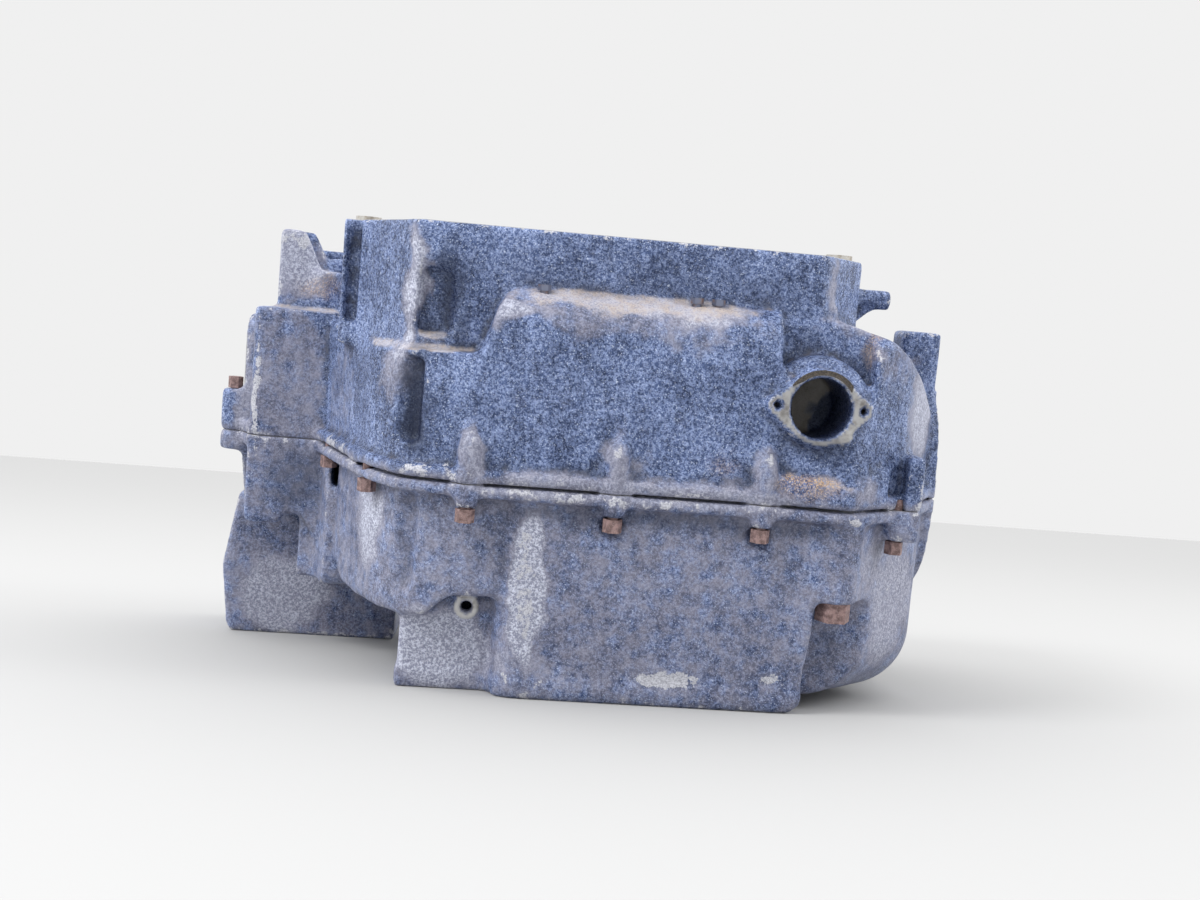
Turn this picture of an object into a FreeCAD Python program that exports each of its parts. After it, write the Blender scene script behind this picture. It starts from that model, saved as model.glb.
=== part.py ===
import FreeCAD, Part
import math
import os

from FreeCAD import Vector

# Crankcase of a liquid-cooled inline three-cylinder engine, in two castings.
# It is drawn with the parting plane flat at z = 0 and the crank axis along X.
# X runs to the right seen from the front, Y to the rear, Z up to the cylinder deck.
# At the end everything turns about the crank axis, so that the sump face lies flat.

# Stance: angle between the parting plane and the sump face, and the sump's depth.
SUMP_TILT = 7.2
SUMP_DEPTH = 138.0

# Crank and cylinders.
CYLINDER_PITCH = 88.0
LINER_BORE_R = 39.5
LINER_R = 42.0
LINER_COLLAR_R = 43.7
LINER_COLLAR_H = 6.0
LINER_FIT = 0.05
LINER_SPIGOT = 12.0
DECK_Z = 152.0
DECK_PLATE = 12.0
JACKET_FLOOR_Z = 74.0
BAY_TOP_Z = 62.0
JACKET_R = 48.0
TRANSFER_R = 3.2

# Main bearings.
MAIN_BORE_R = 20.0
SHELL_R = 18.5
SHELL_WIDTH = 18.0
WEB = 22.0
END_WEB_EXTRA = 5.0

# Parting flange.
FLANGE_T = 8.0
FLANGE_LIP = 6.0
WALL = 7.0
SEAM_RELIEF = 1.0
SEAM_RELIEF_DEPTH = 9.0

# Side openings: clutch side at -X, drive side at +X.
LEFT_X = -246.0
RIGHT_X = 232.0
CLUTCH_Y = 170.0
CLUTCH_Z = 6.0
CLUTCH_R = 52.0
CLUTCH_FLOOR_X = -150.0
CASSETTE_R = 42.0
CASSETTE_Y = 172.0
CASSETTE_Z = 4.0
REAR_Y = 250.0
REAR_TOP_Z = 84.0
REAR_BOTTOM_Z = -100.0
GEARBOX_FRONT_Y = 84.0
GEARBOX_REAR_Y = 230.0
GEARBOX_LEFT_X = -140.0
GEARBOX_RIGHT_X = 155.0
SIDE_WALL = 10.0
INPUT_R = 22.0
OUTPUT_Y = 192.0
OUTPUT_Z = -46.0
OUTPUT_R = 24.0

# Coolant inlet port at the front.
PORT_X = 123.4
PORT_Y = -90.0
PORT_Z = 60.5
PORT_R = 18.0
PORT_EAR = 26.0
PORT_EAR_HOLE_R = 2.6
PORT_FLANGE_R = 23.5
PORT_FLANGE_T = 7.0
GASKET_T = 0.8
PORT_DEPTH = 44.0
PORT_BOSS_R = 34.0
NICHE_Y = -61.0

# Front forms of the castings.
FRONT_Y = -88.0
BULGE_Y = -82.0
BULGE_TOP_Z = 116.0
BULGE_LEFT_X = -80.0
BULGE_RIGHT_X = 100.0
BULGE_ROUND = 24.0
SHOULDER_Z = 76.0
BLOCK_FRONT_Y = -60.0
BLOCK_REAR_Y = 62.0

# Sump.
SUMP_WALL = 8.0
SUMP_FACE_WIDTH = 15.0
SUMP_FACE_T = 12.0
SUMP_HOLE_R = 2.6
SUMP_HOLE_DEPTH = 10.0
SUMP_HOLE_INSET = 6.5
SUMP_SIDE_HOLES_Y = (-53.5, 88.0)
SUMP_END_HOLES_X = (-30.0, 85.0)
SUMP_RIGHT_X = 116.0
SUMP_ROOM_RIGHT_X = 102.0
DRUM_BOTTOM_Z = -90.0
DRUM_ROOM_Z = -78.0
END_RAISED = 8.0
END_ROUND = 42.0
FOOT_FRONT_Y = 138.0
FOOT_REAR_Y = 236.0
DRAIN_X = -77.0
DRAIN_Z = -79.0
DRAIN_HOLE_R = 4.0
DRAIN_RING_R = 8.0

# Fasteners.
SEAM_BOLT_R = 3.0
SEAM_BOLT_HEAD_AF = 10.0
SEAM_BOLT_HEAD_H = 8.0
SEAM_BOSS_R = 7.0
SEAM_BOSS_DEPTH = 15.0
MAIN_BOLT_R = 4.5
MAIN_BOLT_Y = 30.0
MAIN_BOLT_SEAT_Z = -64.0
OUTER_BOLT_SHIFT = 4.0
MAIN_BOLT_ACCESS_R = 8.0
BIG_BOLT_X = 147.0
BIG_BOLT_Y = -75.0
BIG_BOLT_R = 6.0
BIG_BOLT_AF = 19.0
BIG_BOLT_SEAT_Z = -58.0
HOLE_FIT = 0.3
THREAD_REACH = 18.0
FLANGE_REACH = 6.5
STUD_XS = (-45.0, 47.0, 60.0)
STUD_Y = -66.0
STUD_R = 2.5
STUD_BOSS_R = 5.0
STUD_REACH = 12.0
HEAD_BOLT_R = 4.3
HEAD_BOLT_DEPTH = 55.0

REAR_LUG_XS = (-95.0, 95.0)
LUG_HOLE_R = 5.2

# Dowels, the lug at the far left and the coolant nipple.
DOWEL_R = 8.5
DOWEL_SEAT = 8.0
DOWEL_PROUD = 4.0
DECK_DOWELS = [(149.0, 2.0), (-161.0, 50.0)]
CASE_DOWEL_R = 4.0
CASE_DOWEL_SEAT = 6.0
CASE_DOWELS = [(-215.0, 88.0), (150.0, 56.0)]
SIDE_LUG_X = -253.0
SIDE_LUG_Y = 108.0
SIDE_LUG_R = 9.0
SIDE_LUG_TOP = 30.0
SIDE_LUG_BOTTOM = -14.0
NIPPLE_R = 6.5
NIPPLE_Z = 129.5

# Outline of the parting plane, as corners (x, y, radius), counter-clockwise from above.
SEAM = [
    (-192, 80, 4), (-150, -38, 25), (-124, -76, 25), (-84, FRONT_Y, 40), (104, FRONT_Y, 15),
    (147, -95, 10), (191, -61, 15), (212, -30, 20), (RIGHT_X, 6, 15), (RIGHT_X, 215, 30),
    (190, REAR_Y, 30), (-205, REAR_Y, 30), (LEFT_X, 215, 30), (LEFT_X, 98, 6), (-238, 80, 6),
]

# Outline of the drive-side flange in the plane x = RIGHT_X, as corners (y, z, radius).
DRIVE_SIDE = [
    (0, 0, 60), (8, -44, 40), (84, -123, 50), (205, -120, 40), (236, -50, 40),
    (236, 60, 40), (190, 103, 40), (70, 99, 50), (8, 60, 50),
]

# Outline of the clutch-side flange in the plane x = LEFT_X, as corners (y, z, radius).
CLUTCH_SIDE = [
    (99, 84, 18), (99, -8, 50), (140, -76, 50), (246, -76, 30), (246, 84, 30),
]

SEAM_BOLTS_FRONT = [(-82.0, -84.0), (5.5, -84.0), (95.0, -84.0), (185.0, -63.0)]
SEAM_BOLTS_CORNER = [(-178.6, 60.5), (-144.0, -36.0)]
SEAM_BOLTS_REAR = [
    (-238.0, 231.0), (-150.0, 242.0), (-50.0, 242.0), (50.0, 242.0), (150.0, 242.0),
    (219.0, 222.0),
]


def point(plane, u, v):
    """Place plane coordinates u, v in space."""
    if plane == "XY":
        return Vector(u, v, 0)
    if plane == "XZ":
        return Vector(u, 0, v)
    return Vector(0, u, v)


def normal(plane):
    """Axis along which a profile of this plane is extruded."""
    return {"XY": Vector(0, 0, 1), "XZ": Vector(0, 1, 0), "YZ": Vector(1, 0, 0)}[plane]


def corner_edges(before, corner, after, plane):
    """Tangent points and arc of one rounded corner; a sharp corner gives one point."""
    u, v, radius = corner
    first = Vector(before[0] - u, before[1] - v, 0)
    second = Vector(after[0] - u, after[1] - v, 0)
    half = first.getAngle(second) / 2
    reach = radius / math.tan(half) if radius > 0 else 0
    reach = min(reach, 0.48 * first.Length, 0.48 * second.Length)
    if reach < 0.05 or half > 1.55:
        return [point(plane, u, v)], None
    first.normalize()
    second.normalize()
    real_radius = reach * math.tan(half)
    middle = first + second
    middle.normalize()
    depth = real_radius / math.sin(half) - real_radius
    start = point(plane, u + first.x * reach, v + first.y * reach)
    top = point(plane, u + middle.x * depth, v + middle.y * depth)
    end = point(plane, u + second.x * reach, v + second.y * reach)
    return [start, end], Part.Arc(start, top, end).toShape()


def face_of(outline, plane):
    """Flat face from corners (u, v, radius)."""
    corners = [
        corner_edges(outline[i - 1], outline[i], outline[(i + 1) % len(outline)], plane)
        for i in range(len(outline))
    ]
    edges = []
    for i, (points, arc) in enumerate(corners):
        if arc is not None:
            edges.append(arc)
        start = points[-1]
        end = corners[(i + 1) % len(corners)][0][0]
        if (end - start).Length > 0.01:
            edges.append(Part.LineSegment(start, end).toShape())
    return Part.Face(Part.Wire(edges))


def prism(outline, plane, start, end):
    """Extrude an outline along the normal of its plane from start to end."""
    face = face_of(outline, plane)
    axis = normal(plane)
    face.translate(axis * start)
    return face.extrude(axis * (end - start))


def inset(outline, distance):
    """The outline moved inwards by a distance, with its corner radii following."""
    area = sum(
        outline[i - 1][0] * outline[i][1] - outline[i][0] * outline[i - 1][1]
        for i in range(len(outline))
    )
    side = 1 if area > 0 else -1
    result = []
    for i, (u, v, radius) in enumerate(outline):
        before = outline[i - 1]
        after = outline[(i + 1) % len(outline)]
        a = Vector(u - before[0], v - before[1], 0).normalize()
        b = Vector(after[0] - u, after[1] - v, 0).normalize()
        inward_a = Vector(-a.y, a.x, 0) * side
        inward_b = Vector(-b.y, b.x, 0) * side
        bisector = inward_a + inward_b
        shift = bisector * (2 * distance / bisector.dot(bisector))
        convex = (a.x * b.y - a.y * b.x) * side > 0
        new_radius = max(radius - distance, 1.0) if convex else radius + distance
        result.append((u + shift.x, v + shift.y, new_radius if radius > 0 else 0))
    return result


def box(x0, x1, y0, y1, z0, z1):
    """Box between two corners."""
    return Part.makeBox(x1 - x0, y1 - y0, z1 - z0, Vector(x0, y0, z0))


def rod(radius, start, end):
    """Cylinder between two points."""
    start = Vector(*start)
    axis = Vector(*end) - start
    return Part.makeCylinder(radius, axis.Length, start, axis)


def cone(radius_start, radius_end, start, end):
    """Cone between two points."""
    start = Vector(*start)
    axis = Vector(*end) - start
    return Part.makeCone(radius_start, radius_end, axis.Length, start, axis)


def fuse(shapes):
    """Union of several solids with the seams between flush faces taken out."""
    whole = shapes[0].multiFuse(shapes[1:]) if len(shapes) > 1 else shapes[0]
    return whole.removeSplitter()


def hexagon(across_flats, height, base, up=1):
    """Hexagon head from its seat."""
    radius = across_flats / math.sqrt(3)
    x, y, z = base
    corners = [
        Vector(x + radius * math.cos(math.radians(60 * i)), y + radius * math.sin(math.radians(60 * i)), z)
        for i in range(7)
    ]
    return Part.Face(Part.makePolygon(corners)).extrude(Vector(0, 0, up * height))


def bolt(x, y, seat_z, radius, across_flats, head_height, reach, up=1):
    """Hex bolt: the head points along up from its seat, the shank the other way."""
    head = hexagon(across_flats, head_height, (x, y, seat_z), up)
    shank = rod(radius, (x, y, seat_z), (x, y, seat_z - up * reach))
    return fuse([head, shank])


def ground_block(raised=0.0):
    """Everything below the sump face, or below a plane raised above it."""
    size = 1000.0
    block = Part.makeBox(size, size, size, Vector(-size / 2, -size / 2, raised - size - SUMP_DEPTH))
    block.rotate(Vector(0, 0, 0), Vector(1, 0, 0), -SUMP_TILT)
    return block


def sump_slab(thickness):
    """Layer of a given thickness just above the sump face."""
    size = 1000.0
    slab = Part.makeBox(size, size, thickness, Vector(-size / 2, -size / 2, -SUMP_DEPTH))
    slab.rotate(Vector(0, 0, 0), Vector(1, 0, 0), -SUMP_TILT)
    return slab


def cylinder_xs():
    """X of the three cylinders."""
    return [-CYLINDER_PITCH, 0.0, CYLINDER_PITCH]


def web_xs():
    """X of the four bearing webs."""
    return [(i - 1.5) * CYLINDER_PITCH for i in range(4)]


def main_bolt_places():
    """Two bolts beside each main bearing; those of the outer webs stand a little further in."""
    outer = 1.5 * CYLINDER_PITCH - OUTER_BOLT_SHIFT
    inner = 0.5 * CYLINDER_PITCH
    return [(x, y) for x in (-outer, -inner, inner, outer) for y in (-MAIN_BOLT_Y, MAIN_BOLT_Y)]


# Shapes shared by both castings.
WALL_PLAN = inset(SEAM, FLANGE_LIP)
DRUM_PLAN = inset(SEAM, 2 * FLANGE_LIP)
END_WEB_X = 1.5 * CYLINDER_PITCH + WEB / 2
BLOCK_PLAN = [
    (-121, BLOCK_FRONT_Y, 4), (126, BLOCK_FRONT_Y, 4), (161, -14, 5), (161, BLOCK_REAR_Y, 6),
    (-173, BLOCK_REAR_Y, 6), (-173, 14, 2), (-157, 2, 3),
]
END_PLAN = [(120, BULGE_Y, 0), (152, -88, 30), (RIGHT_X - 6, -2, 60), (RIGHT_X - 6, 75, 0), (120, 75, 0)]
SUMP_PLAN = [
    (-117, -60, 3), (-62, -60, 8), (-54, BULGE_Y, 18), (136, BULGE_Y, 3), (138, -58, 4),
    (138, 104, 15), (-117, 104, 15),
]


def head_bolt_places():
    """Eight head bolts: two rows of four beside the cylinders."""
    inner = 0.5 * CYLINDER_PITCH
    return [(x, y) for x in (-120.0, -inner, inner, 128.0) for y in (-45.0, 46.0)]


def seam_relief(upper):
    """Shallow step around the front edge of the parting flange, left out at the bolt bosses."""
    low, high = (0, SEAM_RELIEF) if upper else (-SEAM_RELIEF, 0)
    ring = prism(SEAM, "XY", low, high).cut(prism(inset(SEAM, SEAM_RELIEF_DEPTH), "XY", low - 1, high + 1))
    spans = [(-188, -158), (-152, -92), (-73, -4), (16, 84), (106, 176), (200, 228)]
    boxes = [box(a, b, -120, 70, low - 1, high + 1) for a, b in spans]
    return ring.common(Part.makeCompound(boxes))


def upper_outside():
    """Outer form of the upper case, with flanges and bosses."""
    block = prism(BLOCK_PLAN, "XY", SHOULDER_Z - 4, DECK_Z)
    block = block.cut(box(-170, -161, -20, 17, SHOULDER_Z + 10, DECK_Z + 1))
    recess = prism([(-119, 84, 3), (-97, 84, 8), (-97, 126, 8), (-119, 126, 8)], "XZ", -70, -52)
    block = block.cut(recess)
    shoulder = prism(WALL_PLAN, "XY", 0, SHOULDER_Z).common(box(-210, BULGE_RIGHT_X, -120, 75, 0, 90))
    shoulder = shoulder.cut(box(BULGE_LEFT_X + 2, BULGE_RIGHT_X + 1, -120, -40, -1, 90))
    bulge_front = [
        (BULGE_LEFT_X - 3, 0, 0), (BULGE_RIGHT_X, 0, 0), (BULGE_RIGHT_X, BULGE_TOP_Z, 3),
        (-68, BULGE_TOP_Z, 16), (BULGE_LEFT_X, SHOULDER_Z, 6),
    ]
    bulge_side = [(BULGE_Y - 2, 0, 0), (BULGE_Y, BULGE_TOP_Z, BULGE_ROUND), (0, BULGE_TOP_Z, 0), (0, 0, 0)]
    bulge = prism(bulge_front, "XZ", -95, 10).common(prism(bulge_side, "YZ", -100, 120))
    dome_front = [
        (97, 0, 0), (RIGHT_X - 2, 0, 0), (RIGHT_X - 7, 58, 25), (201, 84, 25), (170, 104, 30),
        (128, 116, 30), (97, 115, 2),
    ]
    dome_side = [(-96, 0, 0), (-86, 78, 25), (-56, 117, 20), (75, 112, 20), (75, 0, 0)]
    dome = prism(dome_front, "XZ", -100, 75).common(prism(dome_side, "YZ", 90, 240))
    dome = dome.common(prism(WALL_PLAN, "XY", 0, 130))
    niche = [(BULGE_RIGHT_X, 60, 0), (158, 60, 10), (158, 130, 0), (BULGE_RIGHT_X, 130, 0)]
    niche = prism(niche, "XZ", -110, NICHE_Y)
    dome = dome.cut(niche)
    rear_side = [
        (60, 0, 0), (244, 0, 0), (244, 44, 26), (212, REAR_TOP_Z, 36), (60, REAR_TOP_Z, 10),
    ]
    rear = prism(rear_side, "YZ", -200, RIGHT_X - 10).common(prism(WALL_PLAN, "XY", 0, 130))
    drive = prism(inset(DRIVE_SIDE, 4), "YZ", 150, RIGHT_X - 8).common(box(140, 240, -20, 260, 0, 130))
    drive_flange = prism(DRIVE_SIDE, "YZ", RIGHT_X - 11, RIGHT_X).common(box(140, 240, -20, 260, 0, 130))
    clutch = prism(inset(CLUTCH_SIDE, 3), "YZ", LEFT_X, CLUTCH_FLOOR_X - 10)
    clutch_flange = prism(CLUTCH_SIDE, "YZ", LEFT_X, LEFT_X + 9)
    clutch = fuse([clutch, clutch_flange]).common(box(-260, -140, 70, 249, 0, 140))
    plate = prism([(-238, 79, 6), (-180, 79, 0), (-180, 110, 0), (-238, 110, 0)], "XY", 0, 90)
    flange = prism(SEAM, "XY", 0, FLANGE_T)
    ledge_side = [(FRONT_Y - 7, FLANGE_T - 1, 0), (-72, FLANGE_T - 1, 0), (-72, 27, 0), (FRONT_Y - 6, 13, 0)]
    ledge = prism(ledge_side, "YZ", 104, 175).common(prism(SEAM, "XY", 0, 40))
    return fuse([
        block, shoulder, bulge, dome, rear, drive, drive_flange, clutch, plate, flange, ledge,
        *upper_bosses(), *left_bracket(), *port_boss(), *rear_lugs(),
    ])


def upper_bosses():
    """Bolt bosses and lugs that stand on the upper case."""
    parts = []
    for x, y in SEAM_BOLTS_FRONT[:3]:
        parts.append(rod(SEAM_BOSS_R, (x, y, 0), (x, y, 24)))
        parts.append(cone(SEAM_BOSS_R, 3, (x, y, 24), (x, y + 4, 37)))
    parts.append(box(188, 199, -69, -38, 0, 34))
    parts.append(box(204, 230, 18, 44, 50, 111))
    parts += side_lug(0, SIDE_LUG_TOP)
    parts.append(rod(NIPPLE_R, (150, 0, NIPPLE_Z), (186, 0, NIPPLE_Z)))
    parts.append(prism([(150, 106, 0), (164, 114, 0), (176, 124, 0), (150, 124, 0)], "XZ", -3, 3))
    parts.append(rod(5.5, (132.5, -50, 100), (132.5, -50, 122)))
    for x, y in SEAM_BOLTS_REAR:
        parts.append(rod(SEAM_BOSS_R, (x, y, 0), (x, y, 26)))
    return parts


def side_lug(bottom, top):
    """Lug with its bolt boss outside the clutch-side flange."""
    x, y = SIDE_LUG_X, SIDE_LUG_Y
    return [
        rod(SIDE_LUG_R, (x, y, bottom), (x, y, top)),
        box(x, LEFT_X + 4, y - SIDE_LUG_R, y + SIDE_LUG_R, bottom, top),
    ]


def left_bracket():
    """Gusset, boss and low walls on top of the casting behind the front plate."""
    z = REAR_TOP_Z - 4
    gusset = [(-226, z, 0), (-196, z, 0), (-196, 117, 0), (-209, 145, 3), (-226, 146, 3)]
    return [
        prism(gusset, "XZ", 98, 107),
        prism([(-222, z, 0), (-190, z, 0), (-190, 117, 0), (-205, 145, 3), (-222, 146, 3)], "XZ", 120, 127),
        prism([(-226, z, 0), (-216, z, 0), (-216, 128, 0), (-226, 138, 0)], "XZ", 98, 127),
        rod(13, (-194, 106, z), (-194, 106, 118)),
        cone(18, 13, (-194, 106, z), (-194, 106, z + 14)),
        rod(8.5, (-186, 132, z), (-186, 132, 128)),
        box(-212, -168, 150, 158, z, 134),
    ]


def port_boss():
    """Coolant inlet: round boss, sloping skirt and the two-eared flange."""
    face_y = PORT_Y
    back_y = PORT_Y + PORT_FLANGE_T
    pieces = [
        rod(PORT_BOSS_R, (PORT_X + 2, NICHE_Y - 1, PORT_Z - 3), (PORT_X + 2, -75, PORT_Z - 3)),
        cone(PORT_BOSS_R, PORT_FLANGE_R, (PORT_X + 2, -75, PORT_Z - 3), (PORT_X + 2, back_y, PORT_Z - 3)),
        rod(PORT_FLANGE_R, (PORT_X, face_y, PORT_Z), (PORT_X, back_y + 1, PORT_Z)),
    ]
    ear_r = 7.0
    lean = math.acos((PORT_FLANGE_R - ear_r) / PORT_EAR)
    for side in (-1, 1):
        ear_x = PORT_X + side * PORT_EAR
        pieces.append(rod(ear_r, (ear_x, face_y, PORT_Z), (ear_x, back_y + 1, PORT_Z)))
        reach = math.cos(lean)
        rise = math.sin(lean)
        web = [
            (PORT_X + side * PORT_FLANGE_R * reach, PORT_Z - PORT_FLANGE_R * rise, 0),
            (ear_x + side * ear_r * reach, PORT_Z - ear_r * rise, 0),
            (ear_x + side * ear_r * reach, PORT_Z + ear_r * rise, 0),
            (PORT_X + side * PORT_FLANGE_R * reach, PORT_Z + PORT_FLANGE_R * rise, 0),
        ]
        pieces.append(prism(web, "XZ", face_y, back_y + 1))
    return pieces


def rear_lugs():
    """Two engine mounting lugs on the rear of the upper case."""
    lugs = []
    for x in REAR_LUG_XS:
        side = [(200, 50, 0), (236, 50, 8), (252, 88, 13), (240, 112, 13), (216, 108, 8), (190, 80, 0)]
        lugs.append(prism(side, "YZ", x - 14, x + 14))
    return lugs


def crank_bay(x, lower):
    """Room for one crank throw, kept clear of the pockets in the curved front corner."""
    half = (CYLINDER_PITCH - WEB) / 2
    if lower:
        side = [(-69, 1, 0), (-69, -72, 30), (72, -72, 30), (72, 1, 0)]
    else:
        side = [(-75, -1, 0), (-75, BAY_TOP_Z, 34), (72, BAY_TOP_Z, 34), (72, -1, 0)]
    bay = prism(side, "YZ", x - half, x + half)
    corner = [(-125, -42, 0), (-125, -90, 0), (-90, -90, 0), (-96, -69, 0)]
    return bay.cut(prism(corner, "XY", -90, 90))


def water_jacket():
    """Coolant space around the liners; the head bolts pass through solid metal beside it."""
    return fuse([rod(JACKET_R, (x, 0, JACKET_FLOOR_Z), (x, 0, DECK_Z - DECK_PLATE)) for x in cylinder_xs()])


def end_room_plan():
    """Plan of the inside of both end rooms."""
    return inset(SEAM, FLANGE_LIP + WALL)


def upper_inside():
    """Rooms, bores and holes to cut from the upper case, in order."""
    cuts = [crank_bay(x, False) for x in cylinder_xs()]
    plan = end_room_plan()
    chain_room = prism(plan, "XY", -1, 66).common(box(-195, -END_WEB_X, -60, 72, -1, 66))
    cuts.append(chain_room)
    cuts.append(prism([(-157, 12, 4), (-147, 12, 4), (-147, 38, 4), (-161, 38, 4)], "XY", 60, DECK_Z + 1))
    cuts.append(prism([(-176, 60, 0), (-152, 60, 0), (-152, 100, 0), (-176, 100, 0)], "XY", -1, 50))
    cuts.append(rod(CLUTCH_R, (LEFT_X - 1, CLUTCH_Y, CLUTCH_Z), (CLUTCH_FLOOR_X, CLUTCH_Y, CLUTCH_Z)))
    cuts.append(rod(CASSETTE_R, (CLUTCH_FLOOR_X - 1, CASSETTE_Y, CASSETTE_Z),
                    (GEARBOX_LEFT_X + 1, CASSETTE_Y, CASSETTE_Z)))
    gear_side = [
        (GEARBOX_FRONT_Y, -1, 0), (GEARBOX_REAR_Y, -1, 0), (GEARBOX_REAR_Y, 40, 24),
        (206, REAR_TOP_Z - 10, 32),
        (GEARBOX_FRONT_Y, REAR_TOP_Z - 10, 12),
    ]
    cuts.append(prism(gear_side, "YZ", GEARBOX_LEFT_X, GEARBOX_RIGHT_X))
    cuts.append(rod(INPUT_R, (GEARBOX_RIGHT_X - 1, CLUTCH_Y, CLUTCH_Z),
                    (GEARBOX_RIGHT_X + SIDE_WALL + 1, CLUTCH_Y, CLUTCH_Z)))
    cuts.append(prism(inset(DRIVE_SIDE, 14), "YZ", GEARBOX_RIGHT_X + SIDE_WALL, RIGHT_X + 1))
    cuts.append(upper_end_room(plan))
    cuts.append(water_jacket())
    return cuts


def upper_end_room(plan):
    """Room beyond the last web on the drive side, kept clear of the coolant port."""
    side = [(-78, -1, 0), (-78, 40, 10), (-52, 62, 8), (-52, 98, 8), (60, 98, 8), (60, -1, 0)]
    front = [
        (END_WEB_X + END_WEB_EXTRA, -1, 0), (222, -1, 0), (218, 54, 20), (194, 78, 20),
        (END_WEB_X + END_WEB_EXTRA, 98, 4),
    ]
    room = prism(plan, "XY", -1, 110).common(prism(side, "YZ", 140, 225))
    return room.common(prism(front, "XZ", -80, 60))


def make_upper_case():
    """Upper casting with the cylinder block."""
    case = upper_outside()
    pocket = prism([(-131, 20, 3), (-112, 20, 3), (-112, 71, 3), (-131, 71, 3)], "XZ", -110, -60)
    case = case.cut(Part.makeCompound([pocket, seam_relief(True)]))
    for room in upper_inside():
        case = case.cut(room)
    keep = [
        rod(STUD_BOSS_R, (x, STUD_Y, BULGE_TOP_Z - 20), (x, STUD_Y, BULGE_TOP_Z)) for x in STUD_XS
    ]
    keep += [
        rod(PORT_R + 4.5, (PORT_X, -70, PORT_Z), (PORT_X, PORT_Y + PORT_DEPTH + 2, PORT_Z)),
        rod(BIG_BOLT_R + 6, (BIG_BOLT_X, BIG_BOLT_Y, 0), (BIG_BOLT_X, BIG_BOLT_Y, 30)),
    ]
    case = fuse([case, *keep])
    holes = [rod(LINER_R, (x, 0, 50), (x, 0, DECK_Z + 1)) for x in cylinder_xs()]
    holes += [
        rod(LINER_COLLAR_R + LINER_FIT, (x, 0, DECK_Z - LINER_COLLAR_H), (x, 0, DECK_Z + 1))
        for x in cylinder_xs()
    ]
    holes.append(rod(MAIN_BORE_R, (-END_WEB_X, 0, 0), (END_WEB_X + END_WEB_EXTRA, 0, 0)))
    holes.append(rod(PORT_R, (PORT_X, PORT_Y - 1, PORT_Z), (PORT_X, PORT_Y + PORT_DEPTH, PORT_Z)))
    holes.append(box(PORT_X - 14, PORT_X + 8, -56, PORT_Y + PORT_DEPTH, PORT_Z, 95))
    for side in (-1, 1):
        ear_x = PORT_X + side * PORT_EAR
        holes.append(rod(PORT_EAR_HOLE_R, (ear_x, PORT_Y - 1, PORT_Z), (ear_x, PORT_Y + 15, PORT_Z)))
    holes += [
        rod(HEAD_BOLT_R, (x, y, DECK_Z - HEAD_BOLT_DEPTH), (x, y, DECK_Z + 1)) for x, y in head_bolt_places()
    ]
    holes += [
        rod(TRANSFER_R, (x, side * JACKET_R, DECK_Z - DECK_PLATE - 1), (x, side * JACKET_R, DECK_Z + 1))
        for x in cylinder_xs() for side in (-1, 1)
    ]
    holes.append(rod(NIPPLE_R - 2.5, (160, 0, NIPPLE_Z), (190, 0, NIPPLE_Z)))
    holes += upper_bolt_holes()
    for hole in holes:
        case = case.cut(hole)
    return case.removeSplitter()


def upper_bolt_holes():
    """Threaded holes for the bolts that come from below, and the deck dowel holes."""
    holes = [
        rod(SEAM_BOLT_R, (x, y, -1), (x, y, THREAD_REACH)) for x, y in SEAM_BOLTS_FRONT[:3] + SEAM_BOLTS_REAR
    ]
    short = SEAM_BOLTS_FRONT[3:] + SEAM_BOLTS_CORNER
    holes += [rod(SEAM_BOLT_R, (x, y, -1), (x, y, FLANGE_REACH)) for x, y in short]
    low = BULGE_TOP_Z - STUD_REACH
    holes += [rod(STUD_R, (x, STUD_Y, low), (x, STUD_Y, BULGE_TOP_Z + 1)) for x in STUD_XS]
    holes += [rod(MAIN_BOLT_R, (x, y, -1), (x, y, 36)) for x, y in main_bolt_places()]
    holes.append(rod(BIG_BOLT_R, (BIG_BOLT_X, BIG_BOLT_Y, -1), (BIG_BOLT_X, BIG_BOLT_Y, 22)))
    holes += [rod(DOWEL_R, (x, y, DECK_Z - DOWEL_SEAT), (x, y, DECK_Z + 1)) for x, y in DECK_DOWELS]
    holes += [rod(CASE_DOWEL_R, (x, y, -1), (x, y, CASE_DOWEL_SEAT)) for x, y in CASE_DOWELS]
    holes.append(rod(SEAM_BOLT_R + HOLE_FIT, (SIDE_LUG_X, SIDE_LUG_Y, -1), (SIDE_LUG_X, SIDE_LUG_Y, 31)))
    holes += [rod(LUG_HOLE_R, (x - 15, 238, 96), (x + 15, 238, 96)) for x in REAR_LUG_XS]
    return holes


def sump_front():
    """Front outline of the sump with its rounded lower right corner."""
    outline = [(-130, 2, 0), (-130, -175, 0), (115, -175, 0), (118, -136, 0), (137, -118, 16), (142, 2, 0)]
    return prism(outline, "XZ", -110, 120)


def drum_lobe():
    """Space under the curved front corner that leaves the face around the drain hole clear."""
    outline = [
        (-110, -120, 0), (-107, -88, 6), (-98, -80, 10), (-87, -70, 10), (-45, -70, 0), (-45, -120, 0),
    ]
    return prism(outline, "XZ", -110, -60)


def lower_end(margin=0.0):
    """Bowl-shaped end of the lower case on the drive side, its bottom edge well rounded.

    With a margin it gives the same form that much smaller on every side.
    """
    plan = inset(END_PLAN, margin) if margin else END_PLAN
    body = prism(plan, "XY", -170, 0).cut(ground_block(END_RAISED + margin))
    bottom = min(body.Faces, key=lambda face: face.CenterOfMass.z)
    rims = [
        edge for edge in bottom.Edges
        if edge.CenterOfMass.x > 121 + margin and edge.CenterOfMass.y < 74 - margin
    ]
    return body.makeFillet(END_ROUND - margin, rims)


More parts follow.
